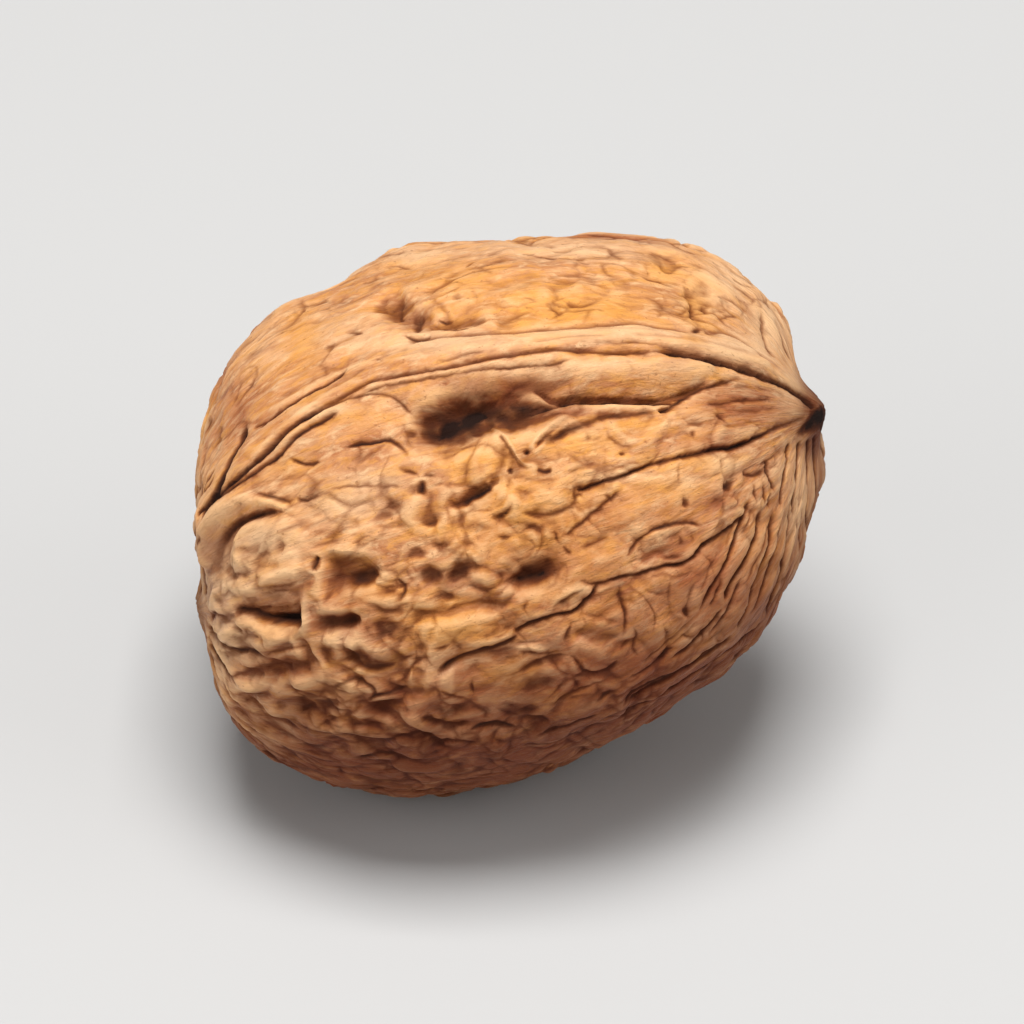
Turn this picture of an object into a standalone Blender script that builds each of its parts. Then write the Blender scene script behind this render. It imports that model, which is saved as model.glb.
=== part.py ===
"""A whole walnut in its shell, lying on its side on a small flat spot.

Metres, +Z up. The origin is under the middle of the nut, on the surface that it lies on.
The nut's long axis lies in the XZ plane and its tip points to +X, a little upwards.
The shell is one closed body: two rounded halves joined along a raised seam that runs
over the top, through the tip, round the underside and through the blunt base.
"""

import math

import bmesh
import bpy
import numpy as np
from mathutils import Matrix, Vector

MM = 0.001

# The body, as half sizes in millimetres from its middle
HALF_LENGTH_TIP = 19.0     # towards the tip
HALF_LENGTH_BASE = 20.6    # towards the blunt base
HALF_WIDTH_SEAM = 16.9     # across the nut in the plane of the seam
HALF_WIDTH_CHEEK = 17.6    # across the nut from cheek to cheek
FULLNESS_TIP = 2.15        # exponent of the outline, 2 is an ellipse and more is fuller
FULLNESS_BASE = 2.55
TAPER = -0.045             # how much narrower the tip's side is

# The raised seam and the tip
SEAM_HEIGHT = 0.75
SEAM_WIDTH = 1.7
TIP_HEIGHT = 1.0
TIP_WIDTH_DEG = 6.0

# Swellings and hollows of the body: longitude round the long axis from the seam on top
# (positive to the front), latitude (90 is the tip), radius in degrees, height in mm
SWELLINGS = [
    (-60.0, 58.0, 22.0, 2.5),    # back shoulder beside the tip
    (-56.0, -5.0, 11.0, 1.1),    # knob on the back cheek
    (-48.0, -62.0, 13.0, -0.7),  # hollow behind the base
    (-52.0, -40.0, 14.0, 0.7),
    (100.0, -74.0, 16.0, 1.3),   # full lower corner of the base
    (116.0, -58.0, 14.0, 0.5),
    (118.0, -30.0, 20.0, -0.6),
    (123.0, 14.0, 24.0, -1.5),   # flatter belly towards the tip
    (124.0, 36.0, 14.0, -0.3),
    (140.0, 68.0, 10.0, -0.2),
    (172.0, 76.0, 13.0, 1.3),    # shoulder under the tip
    (-66.0, 74.0, 10.0, 1.1),    # shoulder over the tip
    (0.0, -80.0, 13.0, -0.8),    # the base is nearly flat
    (166.0, 6.0, 22.0, 1.0),     # full underside, which the nut lies on
]

# Where the seam leaves its own plane: latitude, radius in degrees, shift in degrees
SEAM_SHIFTS = [
    (58.0, 24.0, 3.0),
    (24.0, 14.0, 1.2),
    (-12.0, 14.0, -1.6),
    (-58.0, 16.0, 3.2),
]

# How the nut lies
PITCH_DEG = 16.0           # the tip is this far above level
ROLL_DEG = 14.0            # the seam on top leans this far to the front
FLAT_SPOT_DEPTH = 0.9      # how much of the rounded underside is flat

# Mesh
SEGMENTS = 68
RINGS = 42


def seam_longitude(latitude):
    """Degrees by which the seam lies off its own plane at a latitude."""
    shift = 0.0
    for middle, width, amount in SEAM_SHIFTS:
        shift += amount * math.exp(-(((latitude - middle) / width) ** 2))
    return shift


def body_radius(direction):
    """Distance in mm from the middle to the shell's surface. direction is along the axis,
    towards the seam on top, and towards the front cheek."""
    da, ds, dt = direction
    tip_side = 1.0 / (1.0 + math.exp(-6.0 * da))
    half_length = HALF_LENGTH_BASE + (HALF_LENGTH_TIP - HALF_LENGTH_BASE) * tip_side
    fullness = FULLNESS_BASE + (FULLNESS_TIP - FULLNESS_BASE) * tip_side
    across = math.hypot(ds / HALF_WIDTH_SEAM, dt / HALF_WIDTH_CHEEK) / (1.0 + TAPER * da)
    radius = ((abs(da) / half_length) ** fullness + across**fullness) ** (-1.0 / fullness)
    for lon, lat, width, height in SWELLINGS:
        lon, lat = math.radians(lon), math.radians(lat)
        centre = (
            math.sin(lat),
            math.cos(lat) * math.cos(lon),
            math.cos(lat) * math.sin(lon),
        )
        cosine = da * centre[0] + ds * centre[1] + dt * centre[2]
        apart = math.degrees(math.acos(max(-1.0, min(1.0, cosine))))
        radius += height * math.exp(-((apart / width) ** 2))
    # the seam, at its shifted longitude
    latitude = math.degrees(math.asin(max(-1.0, min(1.0, da))))
    longitude = math.degrees(math.atan2(dt, ds))
    shift = seam_longitude(latitude)
    off = math.radians(longitude - shift)
    level = math.hypot(ds, dt)
    seam_distance = abs(math.sin(off)) * level * radius
    radius += SEAM_HEIGHT * math.exp(-((seam_distance / SEAM_WIDTH) ** 2))
    from_tip = 90.0 - latitude
    radius += TIP_HEIGHT * math.exp(-((from_tip / TIP_WIDTH_DEG) ** 2))
    return radius


def closer_to_seam(longitude):
    """Moves evenly spread longitudes closer to the seam's two sides, so that its ridge is round."""
    return longitude - 0.30 * math.sin(2.0 * longitude)


def make_shell(collection):
    mesh = bpy.data.meshes.new("walnut")
    shell = bpy.data.objects.new("walnut", mesh)
    collection.objects.link(shell)
    bm = bmesh.new()
    bmesh.ops.create_uvsphere(bm, u_segments=SEGMENTS, v_segments=RINGS, radius=1.0)
    for vert in bm.verts:
        # the sphere's poles are the tip and the base
        x, y, z = vert.co
        level = math.hypot(x, y)
        longitude = closer_to_seam(math.atan2(y, x)) if level > 1e-6 else 0.0
        direction = (
            z,
            level * math.cos(longitude),
            level * math.sin(longitude),
        )
        # the mesh's own axes: X along the nut, Z to the seam on top, -Y to the front
        radius = body_radius(direction) * MM
        vert.co = Vector((direction[0], -direction[2], direction[1])) * radius
    bmesh.ops.recalc_face_normals(bm, faces=bm.faces)
    bm.to_mesh(mesh)
    bm.free()
    mesh.shade_smooth()
    return shell


def lay_down(shell):
    """Turns the nut as it lies and puts it over the origin. Returns the height of its middle."""
    turn = Matrix.Rotation(-math.radians(PITCH_DEG), 3, "Y") @ Matrix.Rotation(
        math.radians(ROLL_DEG), 3, "X"
    )
    points = np.array([turn @ v.co for v in shell.data.vertices])
    low, high = points.min(axis=0), points.max(axis=0)
    shell.rotation_mode = "QUATERNION"
    shell.rotation_quaternion = turn.to_quaternion()
    shell.location = (
        -(low[0] + high[0]) / 2.0,
        -(low[1] + high[1]) / 2.0,
        -low[2] - FLAT_SPOT_DEPTH * MM,
    )
    return shell.location.z


def cut_flat_spot(shell, collection):
    bpy.ops.mesh.primitive_cube_add(size=0.08, location=(0.0, 0.0, -0.04))
    cutter = bpy.context.object
    cutter.name = "under_surface_cutter"
    for other in list(cutter.users_collection):
        other.objects.unlink(cutter)
    collection.objects.link(cutter)
    cutter.hide_render = True
    cutter.display_type = "WIRE"
    cut = shell.modifiers.new("flat_spot", "BOOLEAN")
    cut.operation = "DIFFERENCE"
    cut.object = cutter


def shell_material():
    material = bpy.data.materials.new("walnut_shell")
    material.use_nodes = True
    surface = material.node_tree.nodes["Principled BSDF"]
    surface.inputs["Base Color"].default_value = (0.44, 0.235, 0.105, 1.0)
    surface.inputs["Roughness"].default_value = 0.62
    surface.inputs["Metallic"].default_value = 0.0
    return material


def main():
    for obj in list(bpy.data.objects):
        bpy.data.objects.remove(obj)
    nut = bpy.data.collections.new("walnut")
    cutters = bpy.data.collections.new("cutters")
    bpy.context.scene.collection.children.link(nut)
    bpy.context.scene.collection.children.link(cutters)
    shell = make_shell(nut)
    shell.data.materials.append(shell_material())
    lay_down(shell)
    cut_flat_spot(shell, cutters)


main()
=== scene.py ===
"""The walnut's finish: its furrowed, pitted shell as one fine mesh, and the shell's material.

Lengths in the code are millimetres until the mesh is made, which is in metres.
Directions in the nut's own axes are (along, up, front): along is its long axis towards the
tip, up is towards the seam's upper crest, and front is towards the cheek that faces -Y.
Traced features are placed by where they show from the camera, as pixels of a 1024 square
frame in which the nut's middle is at MIDDLE_PX and a millimetre is PX_PER_MM.
"""

import math

import bpy
import numpy as np
from mathutils import Matrix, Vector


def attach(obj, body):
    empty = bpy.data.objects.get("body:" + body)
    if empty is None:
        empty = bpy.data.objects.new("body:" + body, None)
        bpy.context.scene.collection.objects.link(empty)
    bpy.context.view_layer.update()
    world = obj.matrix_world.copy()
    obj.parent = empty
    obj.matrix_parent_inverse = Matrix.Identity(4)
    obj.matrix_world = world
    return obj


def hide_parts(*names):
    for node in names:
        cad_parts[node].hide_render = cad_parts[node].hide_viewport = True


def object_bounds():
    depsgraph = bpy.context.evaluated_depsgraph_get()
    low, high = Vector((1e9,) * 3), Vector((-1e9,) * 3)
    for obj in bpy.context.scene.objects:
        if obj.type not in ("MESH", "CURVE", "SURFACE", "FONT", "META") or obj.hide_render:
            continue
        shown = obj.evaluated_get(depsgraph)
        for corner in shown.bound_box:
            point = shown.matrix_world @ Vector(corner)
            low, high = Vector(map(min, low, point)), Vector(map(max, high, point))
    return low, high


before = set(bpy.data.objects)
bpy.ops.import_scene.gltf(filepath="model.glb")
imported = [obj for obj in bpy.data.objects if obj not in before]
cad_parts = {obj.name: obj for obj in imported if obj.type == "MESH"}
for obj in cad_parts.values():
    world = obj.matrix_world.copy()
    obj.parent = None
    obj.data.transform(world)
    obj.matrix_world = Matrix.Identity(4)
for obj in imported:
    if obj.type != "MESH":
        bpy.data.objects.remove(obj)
CAD_BOX = [[float(x) for x in corner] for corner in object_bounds()]

# ---------------------------------------------------------------- the body, as in the frame
HALF_LENGTH_TIP, HALF_LENGTH_BASE = 19.0, 20.6
HALF_WIDTH_SEAM, HALF_WIDTH_CHEEK = 16.9, 17.6
FULLNESS_TIP, FULLNESS_BASE = 2.15, 2.55
TAPER = -0.045
SEAM_HEIGHT, SEAM_WIDTH = 0.75, 1.7
TIP_HEIGHT, TIP_WIDTH_DEG = 1.0, 6.0
SWELLINGS = [
    (-60.0, 58.0, 22.0, 2.5),
    (-56.0, -5.0, 11.0, 1.1),
    (-48.0, -62.0, 13.0, -0.7),
    (-52.0, -40.0, 14.0, 0.7),
    (100.0, -74.0, 16.0, 1.3),
    (116.0, -58.0, 14.0, 0.5),
    (118.0, -30.0, 20.0, -0.6),
    (123.0, 14.0, 24.0, -1.5),
    (124.0, 36.0, 14.0, -0.3),
    (140.0, 68.0, 10.0, -0.2),
    (172.0, 76.0, 13.0, 1.3),
    (-66.0, 74.0, 10.0, 1.1),
    (0.0, -80.0, 13.0, -0.8),
    (166.0, 6.0, 22.0, 1.0),
]
SEAM_SHIFTS = [
    (58.0, 24.0, 3.0),
    (24.0, 14.0, 1.2),
    (-12.0, 14.0, -1.6),
    (-58.0, 16.0, 3.2),
]
PITCH_DEG, ROLL_DEG = 16.0, 14.0

# ---------------------------------------------------------------- the camera
CAMERA_AZIMUTH, CAMERA_ELEVATION = -8.0, 40.0
CAMERA_DISTANCE = 700.0
PX_PER_MM = 5.7
MIDDLE_PX = (328.0, 409.0)
ZOOM = 2.7  # how much larger the nut is drawn than it is in that frame

# ---------------------------------------------------------------- mesh
LATTICE = 300
TRIANGLES = 192000


def smoothstep(low, high, x):
    t = np.clip((x - low) / (high - low), 0.0, 1.0)
    return t * t * (3.0 - 2.0 * t)


def unit(v):
    return v / np.maximum(np.linalg.norm(v, axis=-1, keepdims=True), 1e-12)


def seam_longitude(latitude):
    shift = np.zeros_like(latitude)
    for middle, width, amount in SEAM_SHIFTS:
        shift = shift + amount * np.exp(-(((latitude - middle) / width) ** 2))
    return shift


def lon_lat(d):
    """Longitude round the long axis from the seam on top, positive to the front, and latitude."""
    return (
        np.degrees(np.arctan2(d[..., 2], d[..., 1])),
        np.degrees(np.arcsin(np.clip(d[..., 0], -1.0, 1.0))),
    )


def direction(lon, lat):
    lon, lat = np.radians(lon), np.radians(lat)
    return np.stack([np.sin(lat), np.cos(lat) * np.cos(lon), np.cos(lat) * np.sin(lon)], -1)


def seam_distance(d, radius):
    """Signed distance in mm from the seam's plane line, positive to the front on top."""
    lon, lat = lon_lat(d)
    off = np.radians(lon - seam_longitude(lat))
    return np.sin(off) * np.hypot(d[..., 1], d[..., 2]) * radius


def body_radius(d):
    da, ds, dt = d[..., 0], d[..., 1], d[..., 2]
    tip_side = 1.0 / (1.0 + np.exp(-6.0 * da))
    half_length = HALF_LENGTH_BASE + (HALF_LENGTH_TIP - HALF_LENGTH_BASE) * tip_side
    fullness = FULLNESS_BASE + (FULLNESS_TIP - FULLNESS_BASE) * tip_side
    across = np.hypot(ds / HALF_WIDTH_SEAM, dt / HALF_WIDTH_CHEEK) / (1.0 + TAPER * da)
    radius = ((np.abs(da) / half_length) ** fullness + across**fullness) ** (-1.0 / fullness)
    for lon, lat, width, height in SWELLINGS:
        apart = np.degrees(np.arccos(np.clip(d @ direction(lon, lat), -1.0, 1.0)))
        radius = radius + height * np.exp(-((apart / width) ** 2))
    radius = radius + SEAM_HEIGHT * np.exp(-((seam_distance(d, radius) / SEAM_WIDTH) ** 2))
    lat = lon_lat(d)[1]
    return radius + TIP_HEIGHT * np.exp(-(((90.0 - lat) / TIP_WIDTH_DEG) ** 2))


# ---------------------------------------------------------------- nut axes to world
TURN = np.array(
    Matrix.Rotation(-math.radians(PITCH_DEG), 3, "Y") @ Matrix.Rotation(math.radians(ROLL_DEG), 3, "X")
)
# columns: where the nut's along, up and front point in the world
AXES = TURN @ np.array([[1.0, 0.0, 0.0], [0.0, 0.0, -1.0], [0.0, 1.0, 0.0]])


def camera_basis(azimuth=CAMERA_AZIMUTH, elevation=CAMERA_ELEVATION):
    a, e = math.radians(azimuth), math.radians(elevation)
    back = np.array([math.sin(a) * math.cos(e), -math.cos(a) * math.cos(e), math.sin(e)])
    right = np.array([math.cos(a), math.sin(a), 0.0])
    return right, np.cross(back, right), back


def project(world):
    """Pixels of points given in mm from the nut's middle, in the world's axes."""
    right, up, back = camera_basis()
    away = CAMERA_DISTANCE - world @ back
    f = PX_PER_MM * CAMERA_DISTANCE
    return np.stack([MIDDLE_PX[0] + f * (world @ right) / away, MIDDLE_PX[1] - f * (world @ up) / away], -1)


def on_body(pixels):
    """Directions in the nut's axes of the surface points that show at these pixels."""
    pixels = np.atleast_2d(np.asarray(pixels, float))
    right, up, back = camera_basis()
    ray = (
        right * ((pixels[:, :1] - MIDDLE_PX[0]) / PX_PER_MM)
        - up * ((pixels[:, 1:] - MIDDLE_PX[1]) / PX_PER_MM)
        - back * CAMERA_DISTANCE
    )
    ray = unit(ray)
    eye = back * CAMERA_DISTANCE
    steps = CAMERA_DISTANCE - 27.0 + np.arange(0.0, 40.0, 0.25)

    def height(t):
        p = (eye + ray * t[:, None]) @ AXES
        return np.linalg.norm(p, axis=1) - body_radius(unit(p)), p

    heights = np.stack([height(np.full(len(ray), s))[0] for s in steps])
    inside = heights < 0
    first = np.argmax(inside, axis=0)
    missed = ~inside.any(axis=0)
    first[missed] = np.argmin(heights[:, missed], axis=0)
    high = steps[first]
    low = high - 0.25
    for _ in range(12):
        middle = (low + high) / 2
        below = height(middle)[0] < 0
        high, low = np.where(below, middle, high), np.where(below, low, middle)
    t = np.where(missed, steps[first], high)
    return unit(height(t)[1])


# ---------------------------------------------------------------- noise
class Noise:
    def __init__(self, seed):
        rng = np.random.default_rng(seed)
        self.perm = rng.permutation(256)
        self.grad = unit(rng.normal(size=(256, 3)))

    def __call__(self, p):
        cell = np.floor(p).astype(np.int64)
        f = p - cell
        u = f * f * f * (f * (6.0 * f - 15.0) + 10.0)
        cell &= 255
        out = np.zeros(len(p))
        for i in (0, 1):
            hx = self.perm[(cell[:, 0] + i) & 255]
            wx = u[:, 0] if i else 1.0 - u[:, 0]
            for j in (0, 1):
                hy = self.perm[(hx + cell[:, 1] + j) & 255]
                wy = wx * (u[:, 1] if j else 1.0 - u[:, 1])
                for k in (0, 1):
                    g = self.grad[self.perm[(hy + cell[:, 2] + k) & 255]]
                    dot = g[:, 0] * (f[:, 0] - i) + g[:, 1] * (f[:, 1] - j) + g[:, 2] * (f[:, 2] - k)
                    out += wy * (u[:, 2] if k else 1.0 - u[:, 2]) * dot
        return out * 1.6


def fbm(p, seed, octaves=3, gain=0.5):
    total, amplitude = 0.0, 1.0
    for octave in range(octaves):
        total = total + amplitude * Noise(seed + octave)(p * 2.0**octave + 17.3 * octave)
        amplitude *= gain
    return total


# ---------------------------------------------------------------- the lattice: a cube's surface, blown up
def lattice(n):
    """Directions of the points of a cube's surface, n cells along each edge, and its quads, facing out."""
    keys, quads = [], []
    line = np.arange(n + 1)
    side = n + 1
    for axis in range(3):
        for end in (0, n):
            a, b = (axis + 1) % 3, (axis + 2) % 3
            ijk = np.zeros((side, side, 3), np.int64)
            ijk[..., axis] = end
            ijk[..., a] = line[:, None]
            ijk[..., b] = line[None, :]
            key = (ijk[..., 0] * side + ijk[..., 1]) * side + ijk[..., 2]
            keys.append(key)
            quad = np.stack([key[:-1, :-1], key[1:, :-1], key[1:, 1:], key[:-1, 1:]], -1).reshape(-1, 4)
            quads.append(quad if end else quad[:, ::-1])
    keys, quads = np.array(keys), np.concatenate(quads)
    names, index = np.unique(keys.reshape(-1), return_inverse=True)
    faces_index = index.reshape(keys.shape)
    quads = np.searchsorted(names, quads)
    ijk = np.stack([names // (side * side), names // side % side, names % side], -1)
    d = unit(np.tan(math.pi / 4.0 * (2.0 * ijk / n - 1.0)))
    return d, quads, faces_index


def sample(faces_index, values, d):
    """values, given at the lattice's points, read at other directions."""
    n = faces_index.shape[1] - 1
    axis = np.argmax(np.abs(d), axis=1)
    rows = np.arange(len(d))
    lead = d[rows, axis]
    face = axis * 2 + (lead > 0)
    uv = []
    for step in (1, 2):
        other = d[rows, (axis + step) % 3] / np.abs(lead)
        uv.append(np.clip((np.arctan(other) / (math.pi / 4.0) + 1.0) / 2.0 * n, 0, n - 1e-6))
    i, j = (c.astype(np.int64) for c in uv)
    fi, fj = uv[0] - i, uv[1] - j
    if values.ndim > 1:
        fi, fj = fi[:, None], fj[:, None]
    at = lambda p, q: values[faces_index[face, p, q]]
    return (at(i, j) * (1 - fi) + at(i + 1, j) * fi) * (1 - fj) + (at(i, j + 1) * (1 - fi) + at(i + 1, j + 1) * fi) * fj


def smoothed(values, edges, degree, times):
    for _ in range(times):
        around = np.bincount(edges[:, 0], values[edges[:, 1]], len(values))
        around += np.bincount(edges[:, 1], values[edges[:, 0]], len(values))
        values = 0.5 * values + 0.5 * around / degree
    return values


D, QUADS, FACES_INDEX = lattice(LATTICE)
BODY = body_radius(D)
P = D * BODY[:, None]  # in the nut's axes, in mm
LON, LAT = lon_lat(D)
HEIGHT = np.zeros(len(D))     # relief in mm, outwards
DARK = np.zeros(len(D))       # 0 to 1: how dark a crevice is painted, partly the shell's own brown and partly painted shade


def normals_of(points):
    n = np.zeros_like(points)
    a, b, c, d = (points[QUADS[:, k]] for k in range(4))
    cross = np.cross(c - a, d - b)
    for k in range(4):
        for axis in range(3):
            n[:, axis] += np.bincount(QUADS[:, k], cross[:, axis], len(points))
    return unit(n)


NORMAL = normals_of(P)
TO_EYE = unit(camera_basis()[2] * CAMERA_DISTANCE - P @ AXES.T)
FACING = np.sum((NORMAL @ AXES.T) * TO_EYE, axis=1)
TRACED = smoothstep(0.0, 0.28, FACING)  # 1 where features are traced, 0 where they are made up
PIXEL = project(P @ AXES.T)

# how fast the pattern runs along and round the nut: real ribs and fibres gather at the tip and the base
ARC = np.radians(LAT) * 19.5
ROUND = np.stack([17.3 * np.cos(np.radians(LON)), 17.3 * np.sin(np.radians(LON))], -1)
GRAIN = np.concatenate([ROUND, ARC[:, None]], axis=1)
LEVEL = np.hypot(D[:, 1], D[:, 2])

# ---------------------------------------------------------------- tools for the relief
VALLEY = np.zeros(len(D))     # how far the shell sinks gently towards the nearest furrow
NEAR_CELL = 2.0
_cells = {}


def _make_cells():
    cell = np.floor(P / NEAR_CELL).astype(np.int64) + 64
    key = (cell[:, 0] * 256 + cell[:, 1]) * 256 + cell[:, 2]
    order = np.argsort(key, kind="stable")
    names, starts = np.unique(key[order], return_index=True)
    ends = np.append(starts[1:], len(order))
    for name, start, end in zip(names.tolist(), starts.tolist(), ends.tolist()):
        _cells[name] = order[start:end]


_make_cells()


def near(points, reach):
    """Indices of the lattice points in the cells that come within reach of these points."""
    low = np.floor((points - reach) / NEAR_CELL).astype(np.int64) + 64
    high = np.floor((points + reach) / NEAR_CELL).astype(np.int64) + 64
    wanted = set()
    for a, b in zip(low.tolist(), high.tolist()):
        for i in range(a[0], b[0] + 1):
            for j in range(a[1], b[1] + 1):
                for k in range(a[2], b[2] + 1):
                    wanted.add((i * 256 + j) * 256 + k)
    found = [_cells[key] for key in sorted(wanted) if key in _cells]
    return np.concatenate(found) if found else np.zeros(0, np.int64)


def smooth_curve(points, step=0.2, closed=False):
    """Points every step along a smooth curve through the given ones."""
    points = np.asarray(points, float)
    if closed:
        padded = np.concatenate([points[-1:], points, points[:2]])
    else:
        if len(points) == 2:
            points = np.array([points[0], points.mean(axis=0), points[1]])
        padded = np.concatenate([[2 * points[0] - points[1]], points, [2 * points[-1] - points[-2]]])
    out = []
    for a, b, c, d in zip(padded, padded[1:], padded[2:], padded[3:]):
        count = max(2, int(np.linalg.norm(c - b) / step) + 1)
        t = np.linspace(0, 1, count, endpoint=False)[:, None]
        out.append(0.5 * (2 * b + (c - a) * t + (2 * a - 5 * b + 4 * c - d) * t**2 + (3 * b - a - 3 * c + d) * t**3))
    return np.concatenate(out if closed else out + [points[-1:]])


WOBBLE = Noise(911)
FINE_WOBBLE = Noise(912)


def along_curve(curve, reach, wander=0.0):
    """Lattice points within reach of a curve on the body: their indices, signed distance from
    it (positive on its left, seen from outside), where along it they are, from 0 to 1, and its
    length. wander makes it wriggle by about that many mm."""
    tangent = unit(np.gradient(curve, axis=0))
    outward = unit(curve)
    left = unit(np.cross(outward, tangent))
    if wander:
        wriggle = wander * (WOBBLE(curve * 0.55) + 0.5 * WOBBLE(curve * 1.4 + 5.0)) + 0.05 * FINE_WOBBLE(curve * 2.8)
        curve = curve + left * wriggle[:, None]
        tangent = unit(np.gradient(curve, axis=0))
        left = unit(np.cross(outward, tangent))
    steps = np.linalg.norm(np.diff(curve, axis=0), axis=1)
    length = np.concatenate([[0.0], np.cumsum(steps)])
    index = near(curve[::4], reach + 0.5)
    if not len(index):
        return index, np.zeros(0), np.zeros(0), length[-1]
    points = P[index]
    best = np.full(len(points), np.inf)
    which = np.zeros(len(points), np.int64)
    for start in range(0, len(curve), 64):
        part = curve[start : start + 64]
        gap = (
            np.sum(points**2, axis=1)[:, None]
            + np.sum(part**2, axis=1)[None, :]
            - 2.0 * points @ part.T
        )
        k = np.argmin(gap, axis=1)
        value = gap[np.arange(len(points)), k]
        better = value < best
        best[better], which[better] = value[better], k[better] + start
    kept = best < reach * reach
    index, which = index[kept], which[kept]
    offset = P[index] - curve[which]
    side = np.sum(offset * left[which], axis=1)
    forward = np.sum(offset * tangent[which], axis=1)
    ends = ((which == 0) & (forward < 0)) | ((which == len(curve) - 1) & (forward > 0))
    distance = np.where(ends, np.sign(side + 1e-9) * np.hypot(side, forward), side)
    place = np.clip((length[which] + forward) / max(length[-1], 1e-6), 0.0, 1.0)
    return index, distance, place, length[-1]


def taper(place, length, start, end):
    """1 along a curve and 0 at its ends, over start and end mm."""
    out = np.ones_like(place)
    if start > 0:
        out = out * smoothstep(0.0, 1.0, place * length / start)
    if end > 0:
        out = out * smoothstep(0.0, 1.0, (1.0 - place) * length / end)
    return out


def add_groove(curve, depth, width, side=0.0, side_reach=1.5, dark=0.8, start=1.0, end=1.0, depths=None, stain=1.0, broad=0.6, reach_broad=0.75, wander=0.12):
    """A furrow: a sharp core where two soft banks meet. side raises its left bank, or its right
    bank where it is negative."""
    reach = max(width * 4.0, side_reach * 2.2 if side else 0.0, reach_broad * 2.6 if broad else 0.0)
    index, distance, place, length = along_curve(curve, reach, wander)
    if not len(index):
        return
    fade = taper(place, length, min(start, length / 2.2), min(end, length / 2.2))
    if depths is not None:
        fade = fade * np.interp(place, np.linspace(0, 1, len(depths)), depths)
    # its depth and width vary along it, as a crack's do
    vary = WOBBLE(P[index] * 0.8 + 31.0)
    off = np.abs(distance) / (width * (1.0 + 0.3 * FINE_WOBBLE(P[index] * 1.3)))
    change = -0.75 * depth * np.exp(-(off**1.3)) * fade * (1.0 + 0.45 * vary)
    if side:
        bank = distance * np.sign(side)
        change += abs(side) * smoothstep(-width * 0.4, width * 1.4, bank) * np.exp(-((np.maximum(bank, 0.0) / side_reach) ** 2)) * fade
    HEIGHT[index] += change
    if broad:
        banks = np.exp(-np.abs(distance) / reach_broad) * (1.0 - smoothstep(0.5, 1.0, np.abs(distance) / reach))
        VALLEY[index] = np.maximum(VALLEY[index], depth * broad * banks * fade)
    # the dark band along a furrow: partly the shell's own brown, partly painted shade
    if dark:
        DARK[index] = np.maximum(DARK[index], dark * np.exp(-((off / (1.1 * stain)) ** 2)) * np.clip(fade, 0, 1.2) * (1.0 + 0.3 * vary))


def add_ridge(curve, height, width, start=1.0, end=1.0, wander=0.08):
    index, distance, place, length = along_curve(curve, width * 2.6, wander)
    if len(index):
        fade = taper(place, length, min(start, length / 2.2), min(end, length / 2.2))
        HEIGHT[index] += height * np.exp(-((distance / width) ** 2)) * fade


def oval(middle, first, second, reach=1.6):
    """Lattice points near an oval on the body and how far out they are: 1 is its edge.
    middle is a point on the body, first and second are its half axes as vectors."""
    size = max(np.linalg.norm(first), np.linalg.norm(second)) * reach
    outward = unit(middle)
    first = first - outward * (first @ outward)
    second = second - outward * (second @ outward)
    index = near(middle[None, :], size)
    offset = P[index] - middle
    flat = offset - np.outer(offset @ outward, outward)
    basis = np.stack([first, second])
    metric = basis @ basis.T
    if abs(np.linalg.det(metric)) < 1e-9 or not len(index):
        return np.zeros(0, np.int64), np.zeros(0), np.zeros((0, 2))
    parts = flat @ basis.T @ np.linalg.inv(metric)
    out = np.hypot(parts[:, 0], parts[:, 1])
    kept = (out < reach) & (np.sum(P[index] * middle, axis=1) > 0)
    return index[kept], out[kept], parts[kept]


def add_pit(middle, first, second, depth, dark=0.7, rim=0.0, steep=0.0, rough=0.2, lean=(0.0, 0.0)):
    """A hollow. lean is where its deepest place is, as parts of its half axes."""
    index, out, parts = oval(middle, first * 1.25, second * 1.25)
    if not len(index):
        return
    out = out + rough * WOBBLE(P[index] * 0.9) + rough * 0.7 * WOBBLE(P[index] * 2.3 + 9.0)
    floor = 1.0 - smoothstep(steep, 1.12, out)
    slope = 1.0 + 0.55 * (parts[:, 0] * lean[0] + parts[:, 1] * lean[1])
    HEIGHT[index] += -depth * floor * slope
    if rim:
        HEIGHT[index] += rim * np.exp(-(((out - 1.18) / 0.2) ** 2))
    # the darker floor of a pit: partly the shell's own brown, partly painted shade
    if dark:
        DARK[index] = np.maximum(DARK[index], dark * (1.0 - smoothstep(0.2, 1.0, out)) * np.clip(slope, 0.3, 1.5))


def add_bump(middle, first, second, height, rough=0.15):
    index, out, _ = oval(middle, first, second, reach=2.2)
    if len(index):
        out = out + rough * WOBBLE(P[index] * 0.8 + 4.0)
        HEIGHT[index] += height * np.exp(-((out / 0.8) ** 2))


# traced features are given in pixels and looked up on the body in one go
_queue = []


def traced(kind, pixels, **settings):
    _queue.append((kind, pixels, settings))


def groove(depth, width, *pixels, **settings):
    traced("groove", pixels, depth=depth, width=width, **settings)


def ridge(height, width, *pixels, **settings):
    traced("ridge", pixels, height=height, width=width, **settings)


def ends_of_oval(x, y, rx, ry, angle):
    c, s = math.cos(math.radians(angle)), math.sin(math.radians(angle))
    # angle is anticlockwise as seen, and pixels run down
    return ((x, y), (x + rx * c, y - rx * s), (x - rx * c, y + rx * s), (x - ry * s, y - ry * c), (x + ry * s, y + ry * c))


def pit(x, y, rx, ry, angle, depth, **settings):
    traced("pit", ends_of_oval(x, y, rx, ry, angle), depth=depth, **settings)


def bump(x, y, rx, ry, angle, height, **settings):
    traced("bump", ends_of_oval(x, y, rx, ry, angle), height=height, **settings)


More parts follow.
